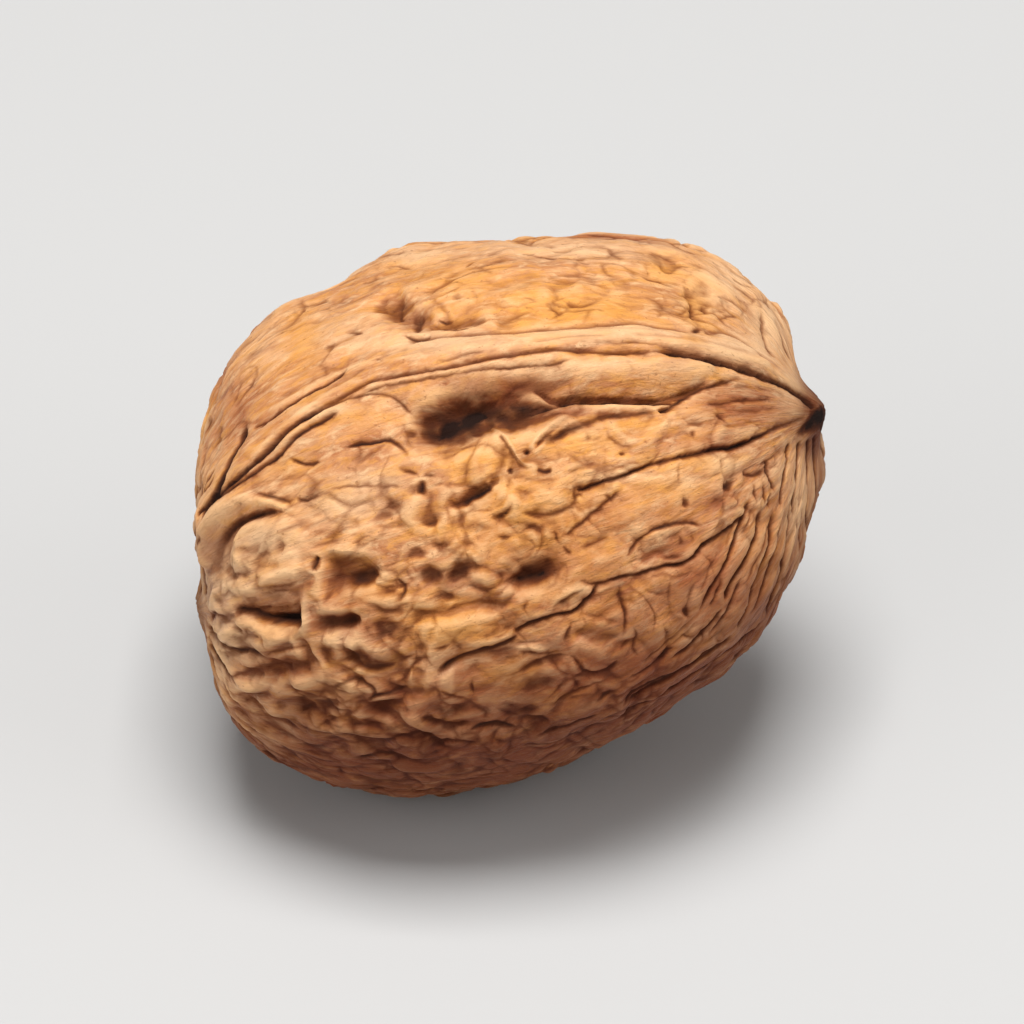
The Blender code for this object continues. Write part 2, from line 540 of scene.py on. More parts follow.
def make_traced():
    every = np.array([p for _, pixels, _ in _queue for p in pixels], float)
    d = on_body(every)
    points = d * body_radius(d)[:, None]
    at = 0
    for kind, pixels, settings in _queue:
        found = points[at : at + len(pixels)]
        at += len(pixels)
        if kind in ("groove", "ridge"):
            curve = smooth_curve(found)
            (add_groove if kind == "groove" else add_ridge)(curve, **settings)
            continue
        middle = found[0]
        first, second = (found[1] - found[2]) / 2.0, (found[3] - found[4]) / 2.0
        # an oval near the edge of the view isn't drawn out endlessly
        size_px = [math.dist(pixels[1], pixels[2]) / 2.0, math.dist(pixels[3], pixels[4]) / 2.0]
        limited = []
        for axis, px in zip((first, second), size_px):
            length = np.linalg.norm(axis)
            most = 2.0 * px / PX_PER_MM
            limited.append(axis * min(1.0, most / max(length, 1e-6)))
        (add_pit if kind == "pit" else add_bump)(middle, *limited, **settings)


SEEN = np.nonzero(FACING > 0.02)[0]
EDGE_NOISE = 1.5 * WOBBLE(P[SEEN] * 0.8 + 50.0) + 0.9 * FINE_WOBBLE(P[SEEN] * 2.0 + 3.0)


def hollow(depth, *outline, above=3.0, below=3.0, dark=0.6, ragged=1.0, dark_below=None):
    """A hollow, or with a negative depth a rise, with this outline in pixels. above and below
    are how many pixels wide its upper and its lower wall show."""
    ring = smooth_curve(outline, 1.0, closed=True)
    reach = 3.0
    low, high = ring.min(axis=0) - reach, ring.max(axis=0) + reach
    pixel = PIXEL[SEEN]
    kept = np.nonzero(((pixel > low) & (pixel < high)).all(axis=1))[0]
    q = pixel[kept]
    gap = np.full(len(q), np.inf)
    nearest = np.zeros((len(q), 2))
    inside = np.zeros(len(q), bool)
    for a, b in zip(ring, np.roll(ring, -1, axis=0)):
        edge = b - a
        t = np.clip(((q - a) @ edge) / max(edge @ edge, 1e-9), 0.0, 1.0)
        foot = a + t[:, None] * edge
        distance = np.linalg.norm(q - foot, axis=1)
        better = distance < gap
        gap[better], nearest[better] = distance[better], foot[better]
        crosses = (a[1] > q[:, 1]) != (b[1] > q[:, 1])
        x_at = a[0] + (q[:, 1] - a[1]) * (b[0] - a[0]) / (b[1] - a[1] if b[1] != a[1] else 1e-9)
        inside ^= crosses & (q[:, 0] < x_at)
    signed = np.where(inside, gap, -gap) + ragged * EDGE_NOISE[kept] * 0.8
    downward = (q[:, 1] - nearest[:, 1]) / np.maximum(gap, 0.3) * np.where(inside, 1.0, -1.0)
    share = 0.5 + 0.5 * np.clip(downward, -1.0, 1.0)  # 1 at the upper wall, 0 at the lower
    wall = 1.2 * (below + (above - below) * share)
    filled = smoothstep(-0.55, 1.0, signed / wall)
    index = SEEN[kept]
    show = smoothstep(0.02, 0.2, FACING[index])
    HEIGHT[index] -= depth * filled * show
    # the darker floor of a hollow: partly the shell's own brown, partly painted shade
    if dark:
        blotchy = 1.0 + 0.35 * WOBBLE(P[index] * 0.9 + 70.0) + 0.2 * FINE_WOBBLE(P[index] * 2.2)
        DARK[index] = np.maximum(DARK[index], dark * filled**1.5 * show * blotchy)


class Cells:
    """Worley noise: how far each point is from its cell's border, and a number for its cell."""

    def __init__(self, seed):
        rng = np.random.default_rng(seed)
        self.perm = rng.permutation(256)
        self.jitter = rng.uniform(0.08, 0.92, (256, 3))
        self.number = rng.uniform(-1.0, 1.0, 256)

    def __call__(self, p):
        cell = np.floor(p).astype(np.int64)
        f = p - cell
        first = np.full(len(p), 9.0)
        second = np.full(len(p), 9.0)
        number = np.zeros(len(p))
        for i in (-1, 0, 1):
            hx = self.perm[(cell[:, 0] + i) & 255]
            for j in (-1, 0, 1):
                hy = self.perm[(hx + cell[:, 1] + j) & 255]
                for k in (-1, 0, 1):
                    h = self.perm[(hy + cell[:, 2] + k) & 255]
                    o = self.jitter[h]
                    d2 = (i + o[:, 0] - f[:, 0]) ** 2 + (j + o[:, 1] - f[:, 1]) ** 2 + (k + o[:, 2] - f[:, 2]) ** 2
                    closer = d2 < first
                    second = np.where(closer, first, np.minimum(second, d2))
                    number = np.where(closer, self.number[h], number)
                    first = np.where(closer, d2, first)
        return (np.sqrt(second) - np.sqrt(first)) / 2.0, number


# ---------------------------------------------------------------- where the shell is rougher or smoother
def seen_patch(mask, x, y, rx, ry, amount, angle=0.0):
    """A soft patch where it shows in the camera's view."""
    c, s = math.cos(math.radians(angle)), math.sin(math.radians(angle))
    dx, dy = PIXEL[:, 0] - x, -(PIXEL[:, 1] - y)
    u, v = (dx * c + dy * s) / rx, (-dx * s + dy * c) / ry
    return np.maximum(mask, amount * np.exp(-((u * u + v * v) ** 1.5)) * smoothstep(0.0, 0.25, FACING))


nothing = np.zeros(len(D))
cobbled = nothing.copy()
for x, y, rx, ry, amount in (
    (312, 414, 32, 20, 0.6), (318, 436, 26, 16, 0.7), (290, 450, 34, 16, 0.8), (262, 466, 34, 16, 1.0),
    (240, 480, 28, 14, 1.0), (296, 480, 44, 16, 0.95), (335, 418, 18, 14, 0.45), (246, 440, 20, 16, 0.4),
    (334, 468, 34, 12, 0.75), (228, 460, 14, 18, 0.9), (350, 484, 40, 12, 0.6), (270, 496, 50, 12, 0.8), (355, 408, 18, 10, 0.2), (385, 421, 12, 7, 0.4),
    (330, 326, 60, 12, 0.08), (280, 395, 20, 6, 0.1), (415, 398, 10, 12, 0.15), (400, 404, 10, 8, 0.15),
):
    cobbled = seen_patch(cobbled, x, y, rx, ry, amount)
sleek = nothing.copy()
for x, y, rx, ry, amount in (
    (378, 357, 36, 6, 1.0), (412, 348, 20, 7, 0.9), (275, 376, 22, 8, 0.75), (300, 348, 30, 5, 0.8),
    (356, 344, 40, 4, 0.7), (262, 393, 18, 5, 0.5), (245, 374, 14, 8, 0.5), (410, 371, 18, 6, 0.6),
    (216, 420, 6, 14, 0.6), (402, 438, 28, 22, 0.65), (384, 464, 26, 10, 0.4), (240, 355, 18, 14, 0.4),
    (320, 322, 70, 14, 0.3), (395, 395, 20, 14, 0.2),
):
    sleek = seen_patch(sleek, x, y, rx, ry, amount)
ribbed = nothing.copy()
for x, y, rx, ry, amount in ((437, 396, 12, 24, 0.7), (430, 424, 14, 26, 0.45), (425, 392, 10, 12, 0.5), (422, 440, 16, 22, 0.2)):
    ribbed = seen_patch(ribbed, x, y, rx, ry, amount)
hidden = 1.0 - TRACED
cobbled = cobbled * smoothstep(0.05, 0.4, FACING)
away = smoothstep(-0.1, -0.35, FACING)
cobbled = np.maximum(cobbled, 0.8 * away * smoothstep(0.0, 0.7, fbm(P / 9.0 + 40.0, 301, 2) + 0.25 * smoothstep(10.0, -50.0, LAT)) * smoothstep(68.0, 45.0, LAT))
ribbed = np.maximum(ribbed, hidden * smoothstep(48.0, 74.0, LAT))
ribbed = np.maximum(ribbed, hidden * 0.7 * smoothstep(-52.0, -72.0, LAT))
sleek = np.maximum(sleek, hidden * 0.7 * np.exp(-((seam_distance(D, BODY) / 2.2) ** 2)))

# ---------------------------------------------------------------- relief by rule, all over
SEED = 4
warp = np.stack([fbm(P / 6.0, 100 + k, 2) for k in range(3)], -1)
warp_fine = np.stack([fbm(P / 2.2, 110 + k, 2) for k in range(3)], -1)
POLE_FADE = smoothstep(0.10, 0.34, LEVEL)
SEAM_AWAY = smoothstep(1.2, 3.6, np.abs(seam_distance(D, BODY)))
SMOOTHER = 1.0 - 0.7 * sleek


def grained(across, along, warping=1.0, fine=0.0):
    """Coordinates for a pattern of that size in mm round and along the nut."""
    g = GRAIN + warp * np.array([1.6, 1.6, 2.4]) * warping + warp_fine * np.array([0.5, 0.5, 0.8]) * fine
    return g / np.array([across, across, along])


# broad swells and hammered hollows
HEIGHT += 0.24 * fbm(P / 7.5 + 3.0, 31, 2) * (1.0 - 0.6 * TRACED)
HEIGHT += 0.25 * fbm(grained(2.3, 3.6), 41, 1) * POLE_FADE * (0.4 + 0.6 * SEAM_AWAY) * (0.3 + 0.7 * SMOOTHER)
HEIGHT += 0.10 * fbm(grained(1.3, 1.9), 42, 1) * POLE_FADE * (0.5 + 0.5 * SEAM_AWAY) * SMOOTHER * (0.7 + 0.9 * cobbled)
# panels with furrows between them, on the far side
border, number = Cells(5)(grained(3.5, 7.0, 1.2, 0.9))
border = border * 3.6
network = smoothstep(-0.35, 0.25, fbm(P / 5.5 + 8.0, 61, 1)) * POLE_FADE * SEAM_AWAY * hidden
HEIGHT += 0.24 * (1.0 - np.exp(-border / 0.8)) * hidden * POLE_FADE * SEAM_AWAY + 0.07 * number * hidden
HEIGHT -= 0.34 * np.exp(-((border / 0.16) ** 1.4)) * network
DARK = np.maximum(DARK, 0.85 * np.exp(-((border / 0.17) ** 2)) * network)
# smaller panels with finer furrows, all over
border, number = Cells(8)(grained(2.2, 4.6, 1.2, 1.0))
border = border * 2.4
some = smoothstep(-0.15, 0.35, fbm(P / 3.5 + 18.0, 65, 2)) * POLE_FADE * (0.3 + 0.7 * SEAM_AWAY) * SMOOTHER
lines = some * (0.84 - 0.09 * TRACED)
some = some * (1.0 - 0.72 * TRACED)
HEIGHT += (0.11 * (1.0 - np.exp(-border / 0.6)) - 0.05 + 0.035 * number) * POLE_FADE * SMOOTHER * (1.0 - 0.3 * TRACED)
HEIGHT -= 0.16 * np.exp(-((border / 0.12) ** 1.3)) * some
DARK = np.maximum(DARK, 0.6 * np.exp(-((border / 0.13) ** 2)) * lines)
# small rounded bumps with creases between them
border, number = Cells(6)(grained(1.25, 2.1, 1.0, 1.0))
border = border * 1.45
lumps = (1.0 - np.exp(-border / 0.38)) - 0.45 + 0.3 * number
crease = np.exp(-((border / 0.10) ** 1.5)) * smoothstep(-0.3, 0.4, fbm(P / 3.0 + 1.0, 63, 1))
amount = (0.30 + 0.02 * TRACED + 0.6 * cobbled) * SMOOTHER * POLE_FADE * (0.35 + 0.65 * SEAM_AWAY)
HEIGHT += (0.17 * lumps - 0.10 * crease) * amount
lower = smoothstep(380.0, 430.0, PIXEL[:, 1]) * TRACED
DARK = np.maximum(DARK, crease * np.clip(0.55 * amount, 0.0, 0.55) * (1.0 - TRACED))
DARK = np.maximum(DARK, crease * TRACED * (0.22 + 0.20 * lower + 0.1 * cobbled) * POLE_FADE * (0.4 + 0.6 * SMOOTHER) * (0.35 + 0.65 * SEAM_AWAY))
border, number = Cells(12)(grained(1.0, 3.0, 1.2, 1.2))
border = border * 1.3
hairs = np.exp(-((border / 0.075) ** 1.6)) * smoothstep(-0.25, 0.35, fbm(P / 2.2 + 61.0, 68, 2)) * POLE_FADE * (0.45 + 0.55 * SMOOTHER)
DARK = np.maximum(DARK, (0.13 + 0.11 * lower) * hairs)
HEIGHT -= 0.03 * hairs
# bigger rounded lumps where it is cobbled
big = np.abs(fbm(grained(2.7, 3.5, 0.9, 0.4), 66, 1))
small = np.abs(fbm(grained(1.5, 2.0, 0.8, 0.4), 67, 1))
HEIGHT += (1.15 * np.sqrt(np.minimum(big, 0.5) ** 2 + 0.003) + 0.34 * np.sqrt(np.minimum(small, 0.45) ** 2 + 0.004) - 0.34) * cobbled
DARK = np.maximum(DARK, 0.62 * np.exp(-((big / 0.055) ** 2)) * cobbled * smoothstep(-0.3, 0.3, fbm(P / 2.5 + 6.0, 64, 1)))
DARK = np.maximum(DARK, 0.3 * np.exp(-((small / 0.05) ** 2)) * cobbled)
# wrinkles and fibres along the nut, closer together at the tip and the base
wrinkle = fbm(grained(0.85, 4.5, 0.8, 0.35), 71, 2)
HEIGHT += (0.11 - 0.045 * TRACED) * (np.abs(wrinkle) - 0.3) * SMOOTHER * (0.4 + 0.6 * POLE_FADE)
DARK = np.maximum(DARK, 0.22 * np.exp(-((wrinkle / 0.08) ** 2)) * smoothstep(0.0, 0.5, fbm(P / 2.6 + 2.0, 73, 1)))
HEIGHT += 0.035 * fbm(grained(0.45, 2.4, 0.8, 0.3), 81, 2) * (0.4 + 0.6 * POLE_FADE)
# ribs that run to the tip and the base
around = np.radians(LON)
rib = np.sin(around * 74.0 + 3.2 * WOBBLE(P * 0.3) * 2.0 + 2.0 * WOBBLE(P * 0.9 + 7.0))
rib_two = np.sin(around * 46.0 + 4.0 * WOBBLE(P * 0.25 + 3.0) + 1.5 * WOBBLE(P * 0.8 + 17.0))
sharp = 0.6 * np.abs(rib) + 0.4 * np.abs(rib_two)
HEIGHT += (0.22 - 0.12 * TRACED) * (sharp - 0.55) * ribbed * smoothstep(0.06, 0.2, LEVEL)
DARK = np.maximum(DARK, 0.6 * smoothstep(0.30, 0.08, sharp) * ribbed)

# ---------------------------------------------------------------- the side that shows, traced
# the crack along the seam, and the lines beside it
groove(0.48, 0.14, (441, 370), (436, 366), (430, 361.8), (424, 359), (418, 356.8), (412, 354.9), (405, 353.2), (398, 351.9), (390, 350.6), (383, 349.4), (376, 349.2), dark=1.15, stain=1.0, start=0.1, end=2.5, side=-0.14, wander=0.05)
groove(0.18, 0.2, (420, 356.4), (412, 353.8), (405, 352), (396, 350.4), (388, 348.9), (381, 347.6), dark=0.5, wander=0.05)
groove(0.26, 0.14, (383, 349.2), (375, 349.5), (365, 350), (355, 349.2), (348, 348.5), (340, 348.7), (330, 350), (320, 351.8), (310, 353.8), (300, 355.8), (290, 357.4), (283, 358.8), (275, 361), dark=0.7, start=1.5, end=1.5, wander=0.05)
groove(0.2, 0.16, (287, 358), (280, 359), (274, 361), (268, 364), (262, 367.3), (257, 370), (252, 373), dark=0.65, start=2.0, end=1.5, wander=0.04)
groove(0.36, 0.13, (264, 366.4), (257, 370), (252, 373), (247, 376.4), (243, 379.4), (238, 384), (233, 389.4), (229, 393), (225, 396.6), (220, 400.6), (216, 404.4), (211, 410), dark=1.15, start=2.5, end=0.2, wander=0.04, stain=1.15)
pit(238.5, 383.6, 7.0, 1.4, 48, 0.22, dark=1.1)
pit(255, 371.5, 4.0, 1.1, 35, 0.2, dark=1.0)
groove(0.26, 0.11, (269, 355.6), (265, 357.4), (258, 362), (250, 366.2), (243, 370.6), (238, 374.2), (232, 379.4), dark=0.95, wander=0.04)
groove(0.2, 0.12, (243, 370), (240, 373), (236, 375.4), (231, 378), dark=0.7, start=0.3, end=0.4)
groove(0.45, 0.2, (229.4, 375), (227.6, 380), (225.6, 385), (222.6, 390), (220, 395), (217.6, 400), (215, 405), (212.4, 410), dark=1.3, start=1.2, end=0.2, wander=0.04, stain=1.5)
groove(0.24, 0.12, (265, 370.3), (261, 372.6), (257, 375), (250, 379), (246, 382.4), (243, 385.6), (240, 388.4), (235, 392), (228, 397), (222, 401), (216, 405), dark=1.0, wander=0.04)
groove(0.14, 0.10, (352, 352.2), (345, 353.6), (335, 354.4), (325, 355.2), (315, 356.4), (300, 358.8), (290, 360.6), (280, 362.4), (270, 365.2), dark=0.7, wander=0.05)
groove(0.1, 0.10, (348, 346), (356, 345.8), (366, 346.2), (376, 346.6), (388, 347.9), dark=0.45)
groove(0.1, 0.10, (298, 353.4), (304, 352.2), (310, 350.8), (319, 348.8), dark=0.5)
groove(0.08, 0.10, (330, 346), (340, 345), (352, 343.8), (365, 343.8), dark=0.3)
ridge(0.16, 0.3, (236, 373.5), (245, 367.4), (256, 361), (266, 356.4), (285, 352.8), (300, 350), (320, 347.6), (345, 345.5), (370, 345), (395, 347), (412, 350.8), (425, 355.6))
ridge(0.13, 0.22, (230, 390.2), (238, 381), (247, 373.4), (255, 368.2), (264, 362.6), (272, 359))
ridge(0.13, 0.18, (238, 387.4), (244, 381.6), (250, 377), (257, 372.6), (264, 369), (272, 365.6))
ridge(0.14, 0.3, (270, 363), (285, 360.4), (300, 357.4), (320, 353.8), (340, 351.2), (352, 350.7))
ridge(0.36, 0.8, (344, 357), (358, 356), (375, 355.4), (392, 355.6), (405, 357))
ridge(0.1, 0.3, (268, 355), (290, 350), (320, 345.6), (350, 342.8), (380, 342.8), (404, 345.4), (420, 350.4))

# the dark furrow under the rib below the seam: the rib curls over it
hollow(0.72, (337, 363), (345, 361), (358, 361), (372, 361.2), (385, 361.4), (394, 360.6), (402, 359.2), (399, 362.4), (392, 366.4), (385, 368.4), (370, 367.8), (355, 367.6), (344, 368), above=6.5, below=1.1, dark=0.5, ragged=0.3)
groove(0.42, 0.15, (345, 367.2), (352, 366.8), (360, 366.5), (370, 366.5), (378, 366.9), (384, 367.3), (390, 367.4), dark=1.25, end=0.3, start=0.8, wander=0.03)
groove(0.34, 0.13, (383, 371.2), (386.5, 370.4), (389, 368.6), (392, 366.6), (396, 364.2), (400, 362.8), (404, 361.4), (409, 360), (415, 359), dark=1.0, side=0.12, side_reach=1.0, start=0.2, end=1.0, depths=(1.2, 1.2, 0.9, 0.7, 0.5))
pit(385.8, 370.6, 3.4, 1.1, 12, 0.2, dark=0.85)
groove(0.2, 0.26, (337, 383.4), (341, 382.2), (345, 380.6), (350, 378), (355, 376.2), (360, 374.6), (365, 372.9), (372, 372.2), (378, 371.8), (384, 371.6), dark=0.7, side=0.06, broad=0.8)
pit(353, 371.4, 3.4, 2.0, 12, 0.16, dark=0.4)
groove(0.14, 0.3, (356, 372.6), (366, 371.2), (376, 370.6), dark=0.3)

# the large dark hollow, under the slope from the seam's lower lip
hollow(0.4, (292, 376), (296, 369), (304, 364.6), (313, 362.6), (323, 359), (333, 355.6), (343, 354.6), (352, 357), (350, 362), (341, 366), (325, 367), (311, 368), above=5.0, below=3.0, dark=0.5, ragged=0.5)
hollow(0.95, (291, 380.6), (292, 374), (295.4, 370), (300, 367.4), (305.3, 366), (312, 365.6), (320, 365), (327, 364.6), (334, 365), (341, 366), (349, 367.4), (345, 372), (337, 376.4), (329.3, 379), (322.7, 380), (316, 382), (308.7, 385), (301, 386), (294, 385), above=3.0, below=7.0, dark=0.9, ragged=0.6)
hollow(0.7, (295.6, 381), (296.6, 375), (300, 370.6), (307, 367.8), (314.6, 366.6), (320, 368.6), (319.6, 373), (315, 377.6), (307, 381.6), (300, 383.4), above=2.6, below=6.5, dark=1.45, ragged=0.5)
hollow(0.5, (312, 379), (316, 373), (325, 371), (333, 370.4), (340, 370), (348, 370), (343, 374.2), (334, 377), (326, 378.6), above=3.4, below=3.4, dark=0.72, ragged=0.6)
groove(0.22, 0.16, (313, 367.4), (319, 366.4), (325, 363.8), (329, 361.8), (333, 360), (338, 357.6), dark=0.65, broad=0.6)
groove(0.2, 0.16, (299, 369.4), (303, 367), (309, 365.8), (316, 365.4), dark=0.6)
pit(290, 379.4, 2.4, 2.2, 0, 0.2, dark=0.6)
pit(293.5, 378.4, 1.5, 1.8, 0, 0.2, dark=0.8)
groove(0.12, 0.2, (288, 374), (287.4, 378), (289, 383), (293, 386.4), dark=0.45)
groove(0.16, 0.2, (297, 386), (303, 386), (310, 384.6), (317, 382), dark=0.35)

# thin fibres round the small hole in the middle
ridge(0.26, 0.12, (319.3, 375.3), (321.5, 377), (325.5, 381), (328.5, 386.5), (331.5, 390.5), (335, 392), (340, 392.2), start=0.2, wander=0.0)
groove(0.16, 0.1, (323, 379.5), (326.5, 384.5), (329.5, 389), (332, 392), (336, 393.6), dark=0.7, start=0.3, wander=0.0)
groove(0.26, 0.13, (336.5, 393), (339.5, 393.8), (343.5, 393.4), dark=1.1, start=0.3, end=0.3)
ridge(0.26, 0.12, (334.5, 386), (337.5, 381.5), (341.5, 377.6), (346, 374.2), (350, 371.8), start=0.2, wander=0.0)
ridge(0.2, 0.12, (336, 388), (340.5, 383), (345, 379.5), start=0.2, wander=0.0)
groove(0.14, 0.1, (335.4, 387.4), (339, 382.3), (343, 378.8), (347.5, 375.6), dark=0.6, wander=0.0)
groove(0.2, 0.2, (340, 382.8), (343.5, 381.4), (347.5, 379), (351, 376.4), dark=1.0)
pit(333.7, 386.8, 1.3, 1.2, 0, 0.5, dark=1.25)
pit(327.3, 393.6, 1.2, 1.3, 0, 0.25, dark=1.0)
pit(369, 387.4, 1.4, 0.9, 0, 0.2, dark=0.9)
pit(395.4, 380, 1.2, 1.8, 0, 0.14, dark=0.6)
pit(393.2, 406, 1.6, 1.5, 0, 0.18, dark=0.65)
pit(303, 361, 1.6, 0.8, 0, 0.12, dark=0.3)
pit(377.5, 383, 1.0, 0.8, 0, 0.12, dark=0.5)
pit(356.5, 381.5, 1.2, 1.8, -20, 0.1, dark=0.45)

# the long furrow that runs down from the tip
groove(0.40, 0.15, (437, 373.6), (433, 375), (428, 377), (424, 378.8), (420, 380.8), (416, 383), (413, 383.8), (410, 384.9), (406, 385.2), (402, 385.9), (395, 387.6), (385, 389.8), (378, 391.8), dark=1.05, side=-0.16, side_reach=1.3, start=0.2, end=1.5, depths=(0.4, 0.5, 0.9, 1.2, 1.1, 0.8, 0.8), wander=0.04)
groove(0.34, 0.13, (385, 389.8), (379, 391.6), (372, 394.4), (365, 396.8), (358, 399), (355, 400.2), (351, 400.5), dark=0.95, side=-0.13, side_reach=1.2, start=1.5, end=0.5, wander=0.04)
groove(0.12, 0.12, (384, 384.6), (382, 387.4), (379.6, 390.4), dark=0.5)
pit(403, 385.4, 3.4, 1.0, 8, 0.2, dark=1.1)
pit(415.5, 382.8, 2.2, 1.4, 25, 0.22, dark=1.2)
groove(0.12, 0.14, (408, 388), (412, 388.4), (415, 387), dark=0.5)
groove(0.12, 0.14, (352, 392), (356, 390.6), (362, 391), dark=0.2)

# the tip: its pit is shallow, and the nearly black colour in it is painted shade standing in for its depth
hollow(0.12, (436.4, 377.4), (438.4, 373.4), (440.8, 370.6), (443.6, 369.4), (445.4, 371.6), (444.4, 376.4), (441.6, 379), (437.6, 379.4), above=1.8, below=3.0, dark=2.1, ragged=0.7)
hollow(0.15, (433, 380), (436, 376), (439, 375), (439, 378.4), (436, 381.4), above=1.4, below=2.0, dark=0.8, ragged=0.2)
groove(0.2, 0.14, (443.6, 376), (445, 381), (445.4, 388), (444.4, 396), dark=1.0, start=0.2)
groove(0.2, 0.14, (445.4, 374), (447.4, 380), (448.4, 388), dark=1.0, start=0.2)
pit(446.4, 379, 3.5, 9, 0, 0.1, dark=0.9)
groove(0.12, 0.14, (398, 369.2), (404, 368.6), (411, 368), (419, 367), (426, 366.4), dark=0.55)
groove(0.12, 0.14, (401, 372), (406, 374), (410, 377.5), dark=0.5)
groove(0.12, 0.14, (408, 363.5), (416, 362.3), (424, 363.6), (431, 366.5), dark=0.4)
groove(0.1, 0.14, (410, 371.5), (418, 371), (427, 370.5), dark=0.4)
groove(0.1, 0.12, (404, 377), (412, 376.4), (420, 374.4), dark=0.4)
groove(0.1, 0.12, (390, 375), (396, 376), (402, 378.5), dark=0.35)

# lines that gather below the tip
groove(0.24, 0.16, (445, 376), (446.6, 382), (446.4, 390), (444.8, 398), (443.4, 405), dark=0.8)
groove(0.3, 0.13, (441, 380), (442.2, 387), (441.6, 395), (441.2, 403), (440.2, 412), dark=0.8, start=0.3)
groove(0.3, 0.13, (438.5, 381), (438.9, 388), (438.4, 398), (437.8, 408), (437, 418), dark=0.9, start=0.3)
groove(0.3, 0.13, (435.5, 382), (434.4, 390), (433.7, 398), (433.2, 406), (432.9, 412), dark=0.9, start=0.3)
groove(0.26, 0.12, (431.6, 383), (430.2, 389), (429.3, 396), (428.4, 402), (428.2, 409), dark=0.8, start=0.3)
groove(0.24, 0.12, (423.6, 389), (423.2, 394), (424.6, 399), (426.4, 403), dark=0.9, start=0.3)
groove(0.2, 0.12, (414.4, 394), (418, 395), (421, 394.2), (423.4, 392), dark=0.8, start=0.2)
groove(0.2, 0.11, (417.4, 396.6), (418.4, 401), (418.2, 407), dark=0.7)
groove(0.2, 0.11, (420.6, 397), (421.6, 402), (421.2, 408), dark=0.7)
groove(0.2, 0.11, (424.8, 400), (423.8, 404), (424.4, 409), dark=0.6)
groove(0.44, 0.16, (421, 407), (420.3, 413), (419, 418.6), (416.3, 424.5), (413.6, 429.6), (410.5, 434), (408.6, 438.5), (407.2, 443.6), dark=1.05, side=-0.1)
groove(0.42, 0.15, (426, 408), (425.2, 415), (423.6, 422), (421.6, 428.6), (419.3, 435), (417.2, 441), (414.2, 447.5), (411.5, 453.5), dark=1.0, side=-0.1)
groove(0.3, 0.14, (417, 403), (413.4, 413), (408.4, 426), (402.4, 437), (397.4, 447), dark=0.9, side=-0.08, wander=0.04)
groove(0.34, 0.14, (411.5, 453.5), (405, 459), (396, 465), (386, 471), (377, 476), (366, 482), dark=0.95, start=1.5, end=2.0, wander=0.3)
groove(0.34, 0.14, (422, 449), (414, 457), (404, 465), (392, 472.6), (378, 480), (364, 487), dark=0.9, start=1.5, end=2.0, wander=0.3)
groove(0.28, 0.13, (407.2, 443.6), (402, 451), (394, 459), (385, 464.6), dark=0.85, start=1.0, end=1.5, wander=0.05)
groove(0.2, 0.12, (428, 412), (427, 420), (424.4, 430), (421, 439), (416, 448), dark=0.7, wander=0.04)
groove(0.2, 0.12, (434, 410), (433.2, 420), (430.4, 431), (426, 442), dark=0.7, wander=0.04)
groove(0.2, 0.12, (414, 432), (410.6, 440), (406, 449), (400, 456), dark=0.65, wander=0.04)
groove(0.36, 0.14, (431.8, 406), (431.6, 414), (430.6, 421), (429.6, 427), (428.2, 433.5), (425.6, 441), (422, 449), dark=0.95)
groove(0.3, 0.14, (436.4, 404), (436, 413), (434.8, 421), (433, 431), dark=0.75)
groove(0.16, 0.12, (418, 404), (416.2, 412), (412.5, 420), dark=0.5)
groove(0.2, 0.13, (405.8, 431), (405.6, 436), (403.5, 441), (400.6, 446.5), dark=0.65)
groove(0.26, 0.14, (396, 433), (394.2, 440), (393.4, 445), (394.2, 450), dark=0.85, depths=(0.4, 0.5, 1.1))
groove(0.2, 0.14, (391.6, 443), (393, 446.5), (394.5, 449.5), dark=0.9)
groove(0.2, 0.14, (411, 455), (406, 458.6), (400, 463), (394, 466.5), (388, 470), dark=0.75)
groove(0.14, 0.12, (409, 458), (402, 466), (394, 472), dark=0.5)
groove(0.16, 0.12, (403, 455), (405.5, 457), (409, 456), dark=0.5)

# the long furrow through the lower middle
groove(0.36, 0.15, (352, 432.4), (354, 434.6), (357, 435.8), (363, 435.2), (369, 433.4), (375, 432.2), (380, 430.8), (385, 429.3), (391, 428.4), (394.4, 426.4), (396.8, 424), (399, 421.6), (402, 419.8), (405, 418), (408, 415.8), (411, 413.4), (414, 410.6), (417, 407.4), dark=0.95, side=0.14, side_reach=1.3, start=1.4, wander=0.04, depths=(0.6, 0.75, 0.85, 1.0, 1.1, 0.9, 0.8))
groove(0.24, 0.13, (369.6, 427.5), (371.5, 424.6), (375, 420.4), (378.6, 417.2), (382, 415.2), (387, 414), (392, 413.3), (397, 413.6), (400, 415), dark=0.85, side=-0.14, side_reach=0.9, wander=0.03)
hollow(0.3, (372, 426.6), (376, 421), (382, 417), (390, 415), (397, 415.4), (398, 418.6), (394, 423), (389, 426.6), (381, 428.4), (374, 429), above=3.0, below=3.0, dark=0.2)
groove(0.16, 0.14, (381.6, 424.6), (385, 426.4), (389.4, 426.4), (393, 423), dark=0.6)
groove(0.14, 0.12, (390, 417), (391.4, 420), (389.6, 423), dark=0.55)
groove(0.12, 0.12, (394, 417), (395.4, 419), (394.4, 421), dark=0.5)
groove(0.14, 0.13, (344.5, 418.2), (348, 418), (352, 415.4), (356, 412.2), (359, 410), (361.4, 407.4), (365, 404), (368, 401), (370.5, 398.5), dark=0.6, side=0.1, side_reach=1.0, broad=0.9, wander=0.2)
groove(0.12, 0.13, (346.5, 421.5), (349, 424), (351, 424.4), dark=0.7, start=0.3, end=0.3)
groove(0.16, 0.12, (351, 422.6), (356, 421.6), (361, 419.4), (366, 417), dark=0.6)
groove(0.14, 0.12, (340, 416), (344, 417), (345, 420), (347.4, 422.6), dark=0.6)
